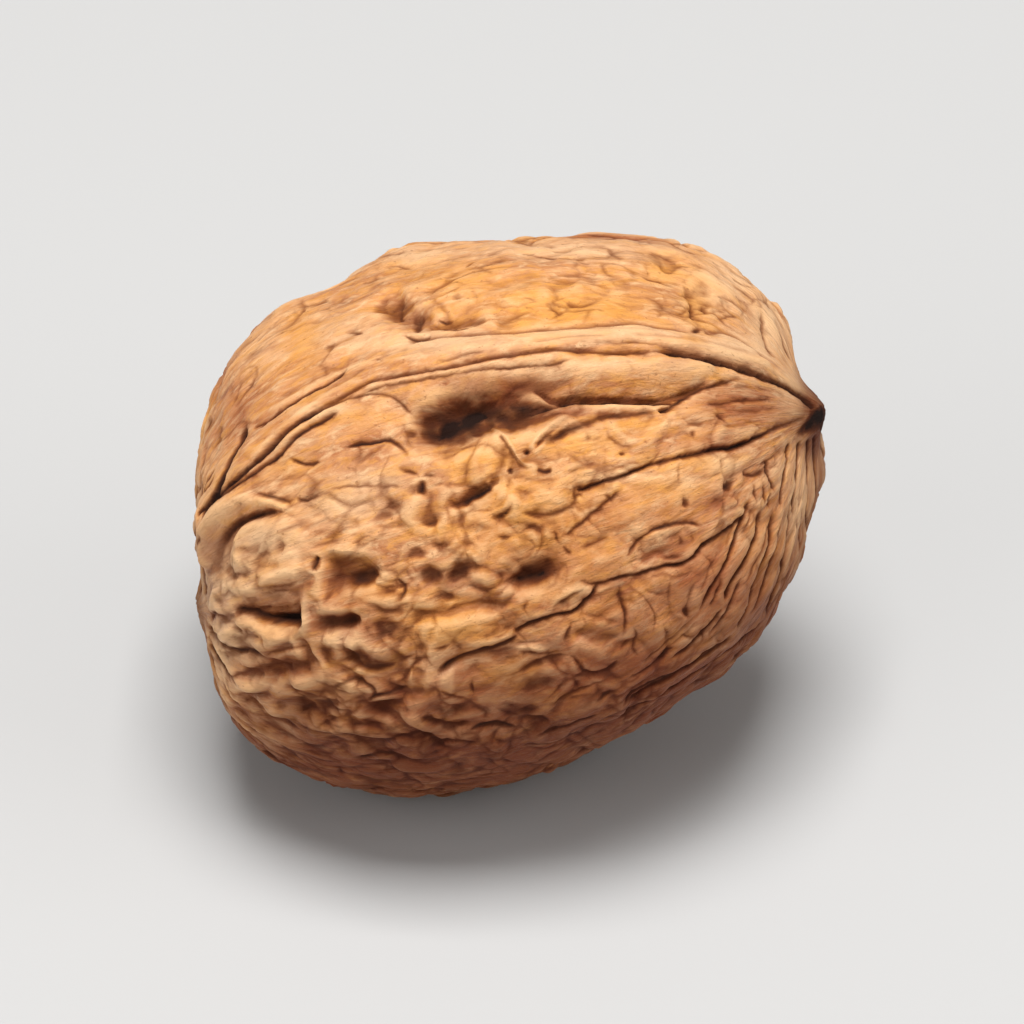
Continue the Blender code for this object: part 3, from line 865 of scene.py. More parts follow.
groove(0.34, 0.15, (327, 455.4), (331, 452.6), (336, 449.8), (341, 448), (345, 447.1), (349, 446.6), (352, 445.6), (355, 442.6), (358, 439.4), (359.6, 436.4), (360, 434), dark=1.0, side=0.12, side_reach=1.0, wander=0.04)
ridge(0.2, 0.3, (341, 443.6), (346, 440.4), (352, 437.8), (358, 436.6))
groove(0.2, 0.13, (341.6, 445.2), (346, 442), (351, 439), (356, 437), dark=0.55)
hollow(0.22, (343, 446), (346, 442.6), (352, 440.4), (356, 440), (354, 443.4), (350, 445.4), above=2.0, below=2.0, dark=0.25)
groove(0.34, 0.17, (299, 469.5), (303, 466.5), (308, 464), (312, 462.8), (316, 461.2), (322, 459.4), (328, 457), (331, 453.6), dark=1.0, side=0.1, broad=0.5)
ridge(0.18, 0.2, (300, 471.5), (306, 468), (311, 466))
ridge(0.2, 0.13, (324, 459.4), (330, 459), (336, 459.2), (344, 460.4))
groove(0.14, 0.12, (327, 461.4), (334, 461), (344, 462.6), dark=0.5)
groove(0.2, 0.13, (350.5, 448), (348.6, 453), (347, 458.5), dark=0.75)
groove(0.16, 0.12, (351, 448), (357, 447.6), (364, 449), (369, 450), dark=0.35)
groove(0.22, 0.14, (367.8, 435), (368.8, 442), (369.5, 450), (369.8, 456), dark=0.8)
hollow(0.3, (352, 454), (356, 451.6), (363, 452), (368.5, 453.6), (368, 457), (362, 458.6), (355, 458), above=2.5, below=2.5, dark=0.35)
bump(361, 462, 6, 3.2, 0, 0.25)
groove(0.26, 0.18, (350.4, 460.6), (352.4, 465), (356, 468.2), (361, 468.6), (365.4, 466.6), (368.6, 462), dark=0.75)
groove(0.12, 0.12, (348, 461), (350.6, 463), (353, 466.6), dark=0.5)
hollow(0.8, (325, 434), (328, 427), (333, 423), (340, 421.6), (345.6, 424), (347, 429), (345, 433.6), (339, 437), (331, 438.4), (326, 437), above=9.0, below=3.6, dark=0.6, ragged=0.8)
hollow(0.3, (328, 435), (333, 432), (340, 431), (344, 432.6), (339, 436), (331, 437.4), above=3.0, below=2.0, dark=1.15, ragged=0.4)
groove(0.26, 0.16, (380, 464.2), (384, 463.4), (387, 460.6), (390, 459.4), dark=1.1, broad=0.6)
groove(0.28, 0.15, (367, 480.8), (371, 478.4), (376, 475.4), (381, 472.6), (386, 470), (391, 468), dark=1.0)
groove(0.22, 0.14, (357, 479.4), (360, 477.8), (364, 476), (368, 475), dark=0.95)
groove(0.14, 0.13, (366, 462), (370, 457.5), (375, 454.5), dark=0.5)
groove(0.14, 0.12, (372, 449.5), (374.5, 454.5), (373, 459.5), (376, 463), dark=0.6)
groove(0.14, 0.12, (383.6, 450), (386, 454), (384.6, 459), dark=0.5)
groove(0.10, 0.12, (375, 437), (383, 440), (390, 438), dark=0.3)
groove(0.16, 0.13, (398, 452), (399.6, 454.6), (398.6, 458), dark=0.7)
groove(0.14, 0.12, (390, 455), (394.4, 455.6), (397, 454), dark=0.6)
groove(0.14, 0.12, (360, 487), (364, 484), (369, 484.6), dark=0.6)
groove(0.12, 0.12, (348, 470.4), (352, 472.4), (352.6, 477), dark=0.5)

# left of the middle
groove(0.26, 0.12, (264, 386), (267, 384.8), (271, 383.6), (276, 382.9), (280.5, 382.2), (284, 383.2), (287, 385.4), (291, 390), dark=1.1, side=-0.1, side_reach=0.9, depths=(0.9, 1.1, 1.0, 0.6, 0.35), wander=0.03)
groove(0.16, 0.11, (243, 387.8), (247.5, 389.7), (251, 391.1), (255, 390.2), (258.5, 390), dark=0.85)
groove(0.2, 0.12, (246.5, 402.5), (250.5, 404.5), (254.5, 403.6), (259, 402.2), dark=0.95)
groove(0.18, 0.12, (231, 402), (236, 402.8), (241, 403.6), (245, 405.2), (248, 408.6), dark=0.8)
groove(0.1, 0.09, (259, 401.2), (266, 399.8), (275, 399.2), (285, 399.4), (290, 399.8), dark=0.6)
hollow(0.45, (292.8, 402.4), (292.9, 399.6), (294, 397.6), (295.7, 397.8), (296.2, 400.2), (295.2, 402.8), above=1.6, below=1.8, dark=1.5, ragged=0.5)
pit(291.6, 401, 3.2, 2.4, 20, 0.16, dark=0.5)
groove(0.16, 0.12, (285.4, 392.6), (289, 393.6), (292.4, 395), (294.6, 397.4), dark=0.8)
groove(0.16, 0.12, (295, 397.6), (296.2, 395.8), (300.6, 396.4), dark=0.8)
hollow(0.6, (305, 405.4), (308, 401.6), (312, 398.8), (317, 397.2), (321.6, 395.8), (322.8, 398), (319.4, 401.4), (314.4, 404.6), (309.6, 407.6), (306.4, 407.8), above=3.6, below=1.5, dark=0.75, ragged=0.5)
groove(0.3, 0.22, (308.6, 406.6), (313, 403.8), (317, 401.4), (320.6, 398.8), dark=1.25, start=0.4, end=0.4)
hollow(0.3, (291.6, 412), (294, 408.6), (298.4, 407.4), (301.6, 409.4), (300.4, 413), (295, 415), above=4.0, below=2.2, dark=0.4, ragged=0.8)
groove(0.18, 0.15, (294.4, 414.2), (297.4, 413.6), (301, 412.4), dark=0.85, start=0.5, end=0.5)
bump(343, 402.8, 11, 6.4, 0, 0.3)
groove(0.16, 0.2, (329.3, 408), (337.3, 409.6), (343.3, 409.6), (348.7, 407.3), (351.3, 404.7), (352, 400), (355.3, 400.3), (358.7, 398.7), dark=0.6, side=0.06)
bump(327, 403.6, 3.6, 4.4, 10, 0.2)
groove(0.22, 0.16, (319.3, 412), (323.3, 410.8), (326.7, 408.2), (328.7, 404.4), dark=1.0)
groove(0.16, 0.14, (332, 412.7), (335.3, 414), (340, 413.4), dark=0.75)
groove(0.12, 0.11, (255, 371.2), (259, 369.7), (263, 368.2), (268, 366.6), (273, 365.4), (278, 365), (282, 365.6), (286, 367.8), (289.6, 371.4), (292, 374.4), dark=0.7, wander=0.03)
groove(0.14, 0.14, (284, 391), (288, 393.4), (293, 394.6), dark=0.4)
groove(0.18, 0.13, (330, 417.4), (334.6, 414.4), (338.6, 415), (342, 416), dark=0.75)
groove(0.18, 0.13, (321, 418.4), (326, 418), (330, 417.6), dark=0.8)
groove(0.14, 0.13, (296, 420.8), (303, 421.4), (308, 420), dark=0.6)
groove(0.18, 0.15, (277, 409), (282, 407), (288, 406.6), dark=0.6)
pit(279.6, 411, 4.4, 2.6, 20, 0.25, dark=0.4)
groove(0.12, 0.1, (267, 420.8), (272, 419.2), (277, 417), dark=0.4)
groove(0.12, 0.11, (268, 423), (274, 421), (280, 418), dark=0.4)
groove(0.16, 0.13, (350, 404), (353.6, 402.6), (356, 404.6), dark=0.5)
groove(0.14, 0.12, (361, 402), (364, 403.4), (366, 406.4), dark=0.7)
pit(408.4, 399.6, 2.8, 2.2, 30, 0.3, dark=0.9)
groove(0.14, 0.13, (391, 402), (392.6, 405), (395, 407), dark=0.6)

# the upper half
hollow(0.42, (275, 332.6), (278, 329.4), (284, 326.4), (290, 328), (293, 331.6), (297, 334), (299, 338), (298.4, 341.4), (294, 342.4), (289, 341.4), (283, 339.4), (278, 336.4), above=3.5, below=4.0, dark=0.42, ragged=0.9)
hollow(0.28, (276.6, 333), (280, 330), (284, 327.4), (287, 328.4), (287.4, 333), (286.4, 337), (281.4, 336.6), above=2.6, below=3.0, dark=0.5, ragged=0.6)
hollow(0.26, (290.6, 335.6), (292.6, 334), (294.4, 336), (294, 340.6), (292, 342), (290.4, 339.6), above=1.6, below=1.6, dark=0.8, ragged=0.4)
groove(0.16, 0.12, (285.4, 329), (285, 333), (285.8, 337), dark=0.8, start=0.3, end=0.3)
groove(0.2, 0.11, (286, 343.2), (289, 343.9), (293, 344.9), (297, 343.8), (299, 341.4), dark=0.85)
ridge(0.14, 0.12, (290, 342.6), (294, 343.2), (297, 341.6))
hollow(0.34, (297.6, 337.6), (303, 336), (310, 335.2), (317, 335.6), (318.6, 338), (314, 340.4), (307, 341.4), (300, 341), above=2.5, below=1.4, dark=0.42, ragged=0.5)
groove(0.14, 0.11, (298.5, 336.4), (303, 337.2), (307, 336.2), dark=0.9)
groove(0.14, 0.10, (301, 341), (306, 341.2), (311, 341), (315, 339.6), dark=0.85)
groove(0.16, 0.11, (266, 342), (270, 342.8), (274.4, 343.6), dark=0.8)
groove(0.10, 0.11, (258, 346.6), (261, 347.4), (264, 346.6), dark=0.35)
groove(0.10, 0.10, (276.4, 352.6), (279, 353), (282, 352.6), dark=0.6)
hollow(0.15, (341, 326.4), (345, 321.8), (354, 320.4), (363, 323), (365, 328), (359, 332.6), (350, 333.6), (343, 331.4), above=2.6, below=2.0, dark=0.1, ragged=0.5)
bump(352.6, 325.6, 3.4, 2.4, 0, 0.2)
groove(0.16, 0.18, (346, 329), (350, 331), (356, 331.8), (361, 329.6), dark=0.5)
groove(0.07, 0.11, (341.5, 325), (343, 322.2), (349, 321), (357, 321.6), (366, 322.8), dark=0.35)
groove(0.14, 0.16, (340, 331), (344, 334), (349, 336.4), dark=0.5)
hollow(0.12, (375.6, 317.4), (380, 313.6), (386, 313), (389.6, 316), (387.6, 321), (381, 322.6), (375.6, 320.6), above=2.4, below=2.4, dark=0.08, ragged=0.4)
groove(0.12, 0.13, (374, 320.6), (380, 322.6), (385, 324.2), (390, 326.6), dark=0.45)
hollow(0.18, (393, 326), (399, 322), (402.6, 328), (401.6, 335), (399, 341), (395.4, 341), (393.4, 334), above=2.4, below=2.0, dark=0.25, ragged=0.8)
pit(397, 341.4, 2.6, 1.2, 15, 0.24, dark=0.9)
groove(0.14, 0.12, (394.6, 329), (395, 334), (396, 339.4), dark=0.7)
groove(0.12, 0.11, (398.4, 330), (400, 334), (401.4, 337), dark=0.6)
groove(0.12, 0.11, (402, 335.4), (406, 337), (409, 336.4), (414, 336.4), dark=0.6)
groove(0.10, 0.11, (402.6, 329), (407, 329.4), (410, 332), dark=0.4)
hollow(0.14, (320.6, 337), (324, 333.6), (330, 332.6), (333, 335.6), (331, 340), (325, 341), above=2.4, below=2.4, dark=0.15)
pit(325, 324.6, 6, 2.6, 6, 0.12, dark=0.12)
groove(0.16, 0.13, (418.5, 332), (421, 338), (421.4, 344), (423.5, 349.5), (427, 354), dark=0.45)
groove(0.16, 0.13, (424.5, 336), (427, 342), (429, 348), (432, 355), dark=0.4)
groove(0.12, 0.11, (330, 313.6), (338, 313.9), (346, 315), (352, 315), (357, 314.6), dark=0.5)
groove(0.10, 0.11, (362, 311.6), (367, 313.8), (372, 315.6), dark=0.45)
groove(0.10, 0.12, (300, 324.5), (306, 323.6), (312, 325), dark=0.3)
groove(0.12, 0.14, (310, 319), (313, 316.6), (317, 316.4), dark=0.5)
groove(0.10, 0.12, (233, 356), (231.4, 361), (228, 366), (224, 372), dark=0.5)
groove(0.10, 0.11, (228, 359), (226, 366), (223, 372), dark=0.4)
groove(0.2, 0.3, (288, 346.4), (298, 344.4), (310, 343.2), (322, 342.4), (336, 341.4), (352, 340.4), (362, 339.6), (374, 339.4), (386, 341), (395, 343), dark=0.3, side=-0.2, side_reach=1.6, broad=0.6, wander=0.06)
groove(0.2, 0.3, (398, 342.6), (406, 342), (413, 345), (419, 349.6), (425, 355.6), dark=0.2, side=-0.12, side_reach=1.4, broad=0.6, wander=0.06)
pit(307.4, 329.4, 2.8, 1.6, 0, 0.14, dark=0.35)
groove(0.12, 0.12, (279, 318.4), (285, 317), (292, 318.4), dark=0.3)
groove(0.10, 0.12, (330, 340), (322, 341), (316, 343), dark=0.25)

# lower left: the curled rib, the swellings and the hollows between them
ridge(0.5, 0.55, (215.6, 431), (213.4, 425), (213, 420), (214.3, 415.3), (217.7, 410), (223, 406.6), (229, 404.6), (235, 404.4), (241, 406), (245.4, 409), (248, 412.4), start=0.5, end=1.5)
hollow(0.38, (216, 433), (215.4, 426), (217, 420), (220.4, 415.4), (225, 412), (230, 409.8), (236, 408.2), (242, 407.6), (247, 410.4), (243, 410), (237, 411), (231, 412.8), (227.4, 415.4), (224.4, 420), (223.2, 426), (223.4, 432), above=2.0, below=2.2, dark=0.3, ragged=0.3)
groove(0.26, 0.2, (219, 430), (217.6, 424.6), (219.4, 419.6), (222, 415.6), (226.4, 412.8), (231.4, 410.6), (236.4, 409), (242, 407.9), dark=0.9, depths=(0.3, 0.5, 1.2, 1.2, 1.0, 0.8), wander=0.04)
bump(239, 422.5, 15, 10.5, 12, 0.5)
hollow(0.3, (232, 420), (236, 417), (243, 417.6), (245.4, 421), (244, 426), (241, 430), (234, 430.6), (231.4, 426), above=2.5, below=2.5, dark=0.15, ragged=0.4)
ridge(0.22, 0.4, (229, 430), (226.4, 424), (227.6, 417.6), (232, 413.6), (239, 412.2), (246, 414.4), (250.4, 419), (251, 424.6))
bump(238, 419.6, 3.4, 2.4, 0, 0.18)
groove(0.14, 0.16, (231, 426.6), (235.6, 425), (241.4, 424.2), dark=0.45)
groove(0.12, 0.13, (244.6, 418), (243.6, 421.6), (244.4, 425.6), dark=0.35)
ridge(0.32, 0.42, (233.7, 435.2), (240, 433.8), (246.3, 430.8), (253.4, 428.2), (256, 426))
groove(0.28, 0.14, (255.9, 424.6), (255.4, 427.6), (254.6, 431.6), dark=1.1, start=0.3, end=0.4)
ridge(0.22, 0.2, (258, 424.6), (257.6, 429), (256.6, 434), (257, 440))
bump(226.8, 436.6, 5.2, 3.6, 0, 0.42)
bump(217.4, 443, 4, 6, 0, 0.3)
groove(0.2, 0.16, (221, 432), (224, 433), (228, 432.6), dark=0.5)
groove(0.16, 0.14, (231, 438), (237, 436.8), (244, 436), (250, 435.4), dark=0.55)
groove(0.14, 0.12, (233, 440.6), (240, 438.6), (247, 438.6), dark=0.5)
hollow(0.75, (228, 446), (231, 441.6), (236, 439.4), (243, 438.8), (248.6, 440), (250, 443), (249.8, 448.6), (248.8, 451.6), (243, 451.6), (237, 450.4), (232, 448.6), above=8.0, below=1.2, dark=0.42, ragged=0.4)
hollow(0.4, (238, 448), (243, 448), (248, 446.4), (249.8, 448.2), (249.2, 451.6), (243.6, 451.6), (238.4, 450.4), above=1.8, below=0.9, dark=1.4, ragged=0.3)
groove(0.3, 0.16, (225, 444.9), (229, 446), (233.6, 448.2), (239, 450), (244, 451), (249, 451.2), dark=1.2, start=0.6, end=0.2, wander=0.04)
ridge(0.4, 0.36, (251.4, 440), (250.8, 445.3), (251.4, 449.6), (249.8, 453), (245, 455), (238.3, 453.8), (231.7, 451), (225, 449.8))
hollow(0.75, (257.6, 427), (259, 425), (264, 424.4), (270, 425.4), (276, 427.6), (278.6, 431), (276.6, 435), (271, 437.6), (265, 438.6), (259.6, 440), (257.4, 436), above=4.0, below=4.0, dark=0.5, ragged=0.5)
hollow(0.35, (265, 434), (270, 430.4), (276, 430), (279, 433), (274, 437), (267, 438), above=3.0, below=2.0, dark=1.15, ragged=0.4)
ridge(0.22, 0.2, (258.6, 424), (264, 423.2), (270, 423.8))
groove(0.16, 0.14, (259, 436), (259.4, 440), (258.6, 445), dark=0.4)
hollow(0.62, (256, 449.8), (258, 447.2), (264, 446.4), (269.6, 447.4), (271.4, 450.2), (268.6, 453.2), (262, 454), (257.4, 453), above=2.6, below=2.8, dark=0.62, ragged=0.5)
hollow(0.16, (262, 449.6), (267, 448), (270.4, 449.8), (268, 452.6), (263, 452.8), above=2.0, below=1.6, dark=1.0, ragged=0.3)
ridge(0.16, 0.16, (257.4, 445.2), (261, 444.6), (265.4, 445))
hollow(0.3, (275, 450.6), (281, 448), (286, 451), (285, 454.8), (279, 456), above=2.2, below=2.4, dark=0.7, ragged=0.7)
bump(263, 457.6, 7.5, 3.6, 0, 0.4)
hollow(0.68, (302.6, 433), (305.6, 428.6), (311, 425.6), (316.4, 427.6), (318.6, 430), (314, 432.4), (309, 435.6), (304, 436), above=3.6, below=3.0, dark=0.75, ragged=0.8)
hollow(0.4, (292.6, 431), (298, 428.8), (303, 431), (301, 435.4), (295, 435.8), above=2.0, below=2.0, dark=0.65, ragged=0.7)
hollow(0.28, (313, 442.4), (316.6, 439), (321, 438.2), (325, 441), (323, 446), (316.6, 446.4), above=3.2, below=3.2, dark=0.45, ragged=0.8)
pit(303, 440.5, 4.6, 1.8, -5, 0.25, dark=0.65)
pit(292, 424.6, 5, 2.4, 5, 0.3, dark=0.4)
hollow(0.45, (265.6, 462), (271, 459.8), (276.6, 462.2), (283, 466), (281, 469), (273, 468.6), (267, 466), above=3.0, below=2.0, dark=0.8, ragged=0.8)
hollow(0.3, (235, 465), (240, 462.4), (248, 461), (256, 462.6), (257, 467.6), (250, 471.4), (241, 471), (236, 468.4), above=2.4, below=2.6, dark=0.36, ragged=1.0)
groove(0.16, 0.11, (281.6, 434), (285.6, 434.8), (288, 438), (286.8, 441.2), (283, 443.4), dark=0.85)
groove(0.14, 0.11, (279.6, 437), (283, 438.4), (286, 439.4), dark=0.5)
groove(0.18, 0.13, (259.6, 476), (263, 473.4), (269, 471.4), (274.6, 473), (277.4, 475.6), (275, 479), (271, 481), dark=0.8)
groove(0.2, 0.13, (272, 480.6), (277, 477.6), (284, 476.6), (291, 475), dark=0.9)
groove(0.2, 0.12, (299.6, 474), (304, 475.6), (308.6, 477.6), (312.4, 479.4), dark=0.85)
groove(0.14, 0.11, (313.2, 470), (313.4, 478), dark=0.6)
bump(306, 470.6, 6, 3.2, 0, 0.28)
groove(0.18, 0.13, (284, 466), (290, 463), (294, 461), dark=0.6)
bump(222, 453, 7.5, 6.0, 0, 0.25)
groove(0.16, 0.12, (233, 463.4), (240, 461), (248, 459.4), (254, 459.4), dark=0.5)
groove(0.16, 0.12, (232.6, 467.4), (240, 467), (248, 468.4), dark=0.55)
pit(222.6, 461.6, 3.6, 2.0, 0, 0.2, dark=0.4)
groove(0.18, 0.13, (224, 451.6), (227, 452.8), (226, 455.4), dark=0.7)
bump(250, 473, 3.8, 3.4, 0, 0.32)
groove(0.16, 0.14, (245.6, 470), (248, 477), (253, 478.4), dark=0.55)
bump(243.5, 483.6, 4.0, 3.0, 0, 0.25)
groove(0.18, 0.14, (248, 485.6), (250.6, 482.6), (255, 481), dark=0.75)
bump(231, 473.6, 7.5, 3.6, -5, 0.3)
groove(0.16, 0.14, (222, 470), (229, 469), (237, 470), dark=0.45)
groove(0.16, 0.13, (260, 485), (264.6, 483), (270, 484), dark=0.6)
groove(0.16, 0.13, (254, 489), (260, 487), (264, 485), dark=0.5)
groove(0.26, 0.16, (310, 490.6), (317, 488.6), (325, 488.2), (332, 489.6), dark=1.15)
groove(0.2, 0.16, (269, 500.6), (279, 499), (291, 500), dark=0.9)
groove(0.14, 0.2, (234, 484.6), (246, 488), (258, 490.6), (272, 491), dark=0.4)
groove(0.1, 0.1, (371, 436), (377, 441), (381, 448), (380, 455), dark=0.5)
groove(0.1, 0.1, (376, 434), (384, 432), (390, 433), (398, 430), dark=0.4)
groove(0.1, 0.1, (387, 432), (386, 440), (388, 448), dark=0.45)
groove(0.1, 0.1, (398, 424), (402, 428), (403, 434), dark=0.4)
groove(0.12, 0.1, (404, 424), (400, 433), (396, 441), dark=0.5)
groove(0.12, 0.1, (424, 412), (422, 420), (418, 429), (414, 436), dark=0.6)
groove(0.12, 0.1, (413, 408), (410, 417), (406, 424), dark=0.5)
groove(0.12, 0.1, (374, 466), (382, 461), (390, 454), (396, 448), dark=0.55)
groove(0.12, 0.1, (369, 472), (378, 467), (388, 461), dark=0.55)
groove(0.12, 0.1, (340, 482), (348, 478), (358, 473), (366, 470), dark=0.5)
groove(0.12, 0.1, (330, 496), (342, 495), (354, 491), dark=0.6)
groove(0.12, 0.1, (331, 447), (327, 452), (321, 454), (313, 455), dark=0.5)
groove(0.12, 0.1, (308, 456), (302, 459), (296, 460), dark=0.5)
groove(0.12, 0.1, (336, 440), (333, 445), (336, 449), dark=0.5)
groove(0.12, 0.1, (286, 470), (290, 468), (298, 468), dark=0.5)
groove(0.12, 0.1, (270, 486), (276, 488), (284, 487), dark=0.5)
groove(0.12, 0.1, (228, 480), (224, 474), (220, 466), dark=0.4)
groove(0.12, 0.1, (256, 466), (262, 470), (268, 471), dark=0.55)
groove(0.12, 0.16, (297, 496), (308, 493.4), (318, 494.4), dark=0.6)
groove(0.14, 0.14, (263, 503.6), (265, 507), dark=0.6)
pit(339, 473.4, 9.5, 4.4, 8, 0.3, dark=0.4)
pit(337, 488.6, 6, 3, 8, 0.25, dark=0.45)
groove(0.16, 0.15, (329, 487), (336, 485.6), (344, 488), dark=0.5)
bump(268, 475, 8, 3.6, 0, 0.34)
bump(292, 472, 6.5, 3.4, 0, 0.3)
bump(259, 489, 9, 4.4, -5, 0.3)
bump(222.6, 461, 5, 5, 0, 0.3)
bump(219.4, 447, 4.5, 3.6, 0, 0.3)
bump(283, 459, 6, 2.8, 0, 0.26)
bump(240, 457, 8, 2.6, 5, 0.26)
bump(318, 478, 8, 4, 0, 0.26)
bump(286, 489, 10, 4, 0, 0.24)
bump(344, 468, 7, 3.2, 10, 0.24)
bump(351, 482, 9, 4, 15, 0.22)
bump(385, 452, 8, 5, 10, 0.2)
hollow(0.34, (272, 482), (278, 479.6), (286, 480), (290, 482.6), (284, 485), (276, 485), above=2.4, below=2.4, dark=0.6, ragged=0.9)
hollow(0.3, (300, 482), (307, 480.6), (313, 483), (308, 486.4), (301, 486), above=2.4, below=2.4, dark=0.6, ragged=0.9)
hollow(0.22, (229, 466), (234, 464.6), (240, 467), (243, 470.6), (236, 471.4), (230, 470), above=2.4, below=2.4, dark=0.35, ragged=0.9)
hollow(0.26, (322, 482), (330, 480), (338, 482), (336, 485.6), (326, 486), above=2.4, below=2.4, dark=0.5, ragged=0.9)
hollow(0.26, (254, 480), (260, 478.4), (264, 481), (259, 484), above=2.2, below=2.2, dark=0.6, ragged=0.9)
groove(0.2, 0.14, (226, 478), (234, 481), (240, 486), (250, 491), dark=0.6)
groove(0.2, 0.14, (292, 483), (298, 487), (306, 489), (314, 487), dark=0.7)
groove(0.2, 0.14, (300, 462), (292, 466), (287, 472), (282, 474), dark=0.6)
groove(0.2, 0.14, (330, 470), (336, 466), (344, 463), (350, 462), dark=0.6)
groove(0.2, 0.14, (335, 492), (345, 489), (352, 486), (362, 482), dark=0.75)
groove(0.2, 0.14, (277, 494), (287, 492), (297, 493), (306, 498), dark=0.7)
bump(303, 449.4, 14, 5.6, 4, 0.25)
bump(325, 470, 8, 4.6, 0, 0.2)
bump(290, 486, 12, 5, 0, 0.12)

make_traced()

# the tip ends sharply, with no shoulder under it
corner = np.degrees(np.arccos(np.clip(D @ direction(150.0, 85.0), -1.0, 1.0)))
HEIGHT -= 0.35 * np.exp(-((corner / 5.0) ** 2))

# ---------------------------------------------------------------- the seam where the camera doesn't see it
def seam_curve(first, last, under=False, off=0.0, wobble=0.25, seed=0):
    """A curve beside the seam, from one latitude to another, off mm from its middle."""
    count = max(4, int(abs(last - first) / 3.0))
    lat = np.linspace(first, last, count)
    rng = np.random.default_rng(seed)
    shift = off + np.convolve(rng.normal(0.0, wobble, count + 2), [0.25, 0.5, 0.25], "valid")
    level = np.maximum(np.cos(np.radians(lat)) * 17.0, 2.5)
    lon = seam_longitude(lat) + (180.0 if under else 0.0) + np.degrees(shift / level)
    d = direction(lon, lat)
    return smooth_curve(d * body_radius(d)[:, None])


add_groove(seam_curve(-62, -86, seed=1), 0.6, 0.2, dark=1.1, start=0.3, end=1.0)
add_groove(seam_curve(-60, -80, off=1.1, seed=2), 0.3, 0.15, dark=0.8)
add_groove(seam_curve(88, 40, under=True, seed=3), 0.62, 0.19, dark=1.1, start=0.3, end=3.0)
add_groove(seam_curve(44, -20, under=True, seed=4), 0.32, 0.15, dark=0.8, start=2.0, end=2.0)
add_groove(seam_curve(-16, -86, under=True, seed=5), 0.62, 0.2, dark=1.1, start=3.0, end=0.8)
for k, (first, last, off) in enumerate(
    (
        (70, 30, 0.8), (26, -6, 0.95), (-20, -58, 0.8), (60, 12, -0.85), (4, -34, -1.0), (-44, -74, -0.85),
        (50, 34, 1.7), (0, -22, 1.8), (-36, -52, -1.8), (34, 18, -1.8), (72, 56, -1.5), (-58, -74, 1.5),
    )
):
    add_groove(seam_curve(first, last, under=True, off=off, seed=20 + k), 0.22, 0.12, dark=0.75)
add_ridge(seam_curve(70, -76, under=True, off=1.35, seed=41), 0.16, 0.4)
add_ridge(seam_curve(70, -76, under=True, off=-1.4, seed=42), 0.16, 0.4)


# ---------------------------------------------------------------- furrows and hollows of the far side
def far_side(d, margin=0.1):
    """True where the camera doesn't see the body."""
    return sample(FACES_INDEX, FACING, np.atleast_2d(d)) < margin


rng = np.random.default_rng(SEED)
laid = np.zeros((0, 3))


def furrow_from(lon, lat, length, heading):
    """Walks along the shell, mostly lengthwise, until it meets another furrow or the traced side."""
    global laid
    path = []
    turn = 0.0
    angle = rng.normal(0.0, 0.25)
    for _ in range(int(length / 0.6)):
        d = direction(lon, lat)
        if abs(lat) > 82.0 or not far_side(d)[0]:
            break
        p = d * float(body_radius(d[None, :])[0])
        if abs(float(seam_distance(d[None, :], np.array([17.0]))[0])) < 1.9:
            break
        if len(laid) and np.min(np.sum((laid - p) ** 2, axis=1)) < 0.75**2:
            path.append(p)
            break
        path.append(p)
        turn = 0.75 * turn + rng.normal(0.0, 0.10)
        angle = 0.9 * angle + turn
        lat += heading * math.degrees(math.cos(angle) * 0.6 / 19.0)
        lon += math.degrees(math.sin(angle) * 0.6 / max(17.0 * math.cos(math.radians(lat)), 2.0))
    if len(path) >= 4:
        curve = smooth_curve(path)
        laid = np.concatenate([laid, np.array(path)])
        return curve
    return None


def random_place():
    while True:
        lat = math.degrees(math.asin(rng.uniform(-0.97, 0.99)))
        lon = rng.uniform(-180.0, 180.0)
        if far_side(direction(lon, lat), 0.02)[0]:
            return lon, lat


for k in range(120):
    lon, lat = random_place()
    heading = 1 if rng.random() < 0.6 else -1
    long_one = k < 34
    curve = furrow_from(lon, lat, rng.uniform(9.0, 22.0) if long_one else rng.uniform(3.0, 7.5), heading)
    if curve is None:
        continue
    depth = rng.uniform(0.32, 0.5) if long_one else rng.uniform(0.16, 0.32)
    add_groove(
        curve,
        depth,
        rng.uniform(0.14, 0.19) if long_one else rng.uniform(0.11, 0.15),
        side=rng.choice([-1, 1]) * rng.uniform(0.06, 0.18),
        side_reach=rng.uniform(0.9, 1.5),
        dark=0.75 + depth * 0.7,
        depths=rng.uniform(0.55, 1.1, 5),
    )

# lines that gather at the tip and at the base
for k in range(70):
    at_tip = k < 38
    lon = rng.uniform(-180.0, 180.0)
    lat = rng.uniform(76.0, 82.0) if at_tip else rng.uniform(-80.0, -72.0)
    d = direction(lon, lat)
    if not far_side(d)[0]:
        continue
    end = rng.uniform(44.0, 66.0) if at_tip else -rng.uniform(44.0, 62.0)
    lats = np.linspace(lat, end, 7)
    lons = lon + np.cumsum(rng.normal(0.0, 1.1, 7))
    line = direction(lons, lats)
    add_groove(smooth_curve(line * body_radius(line)[:, None]), rng.uniform(0.2, 0.4), rng.uniform(0.12, 0.16), dark=rng.uniform(0.6, 1.0), start=0.8, end=2.0)

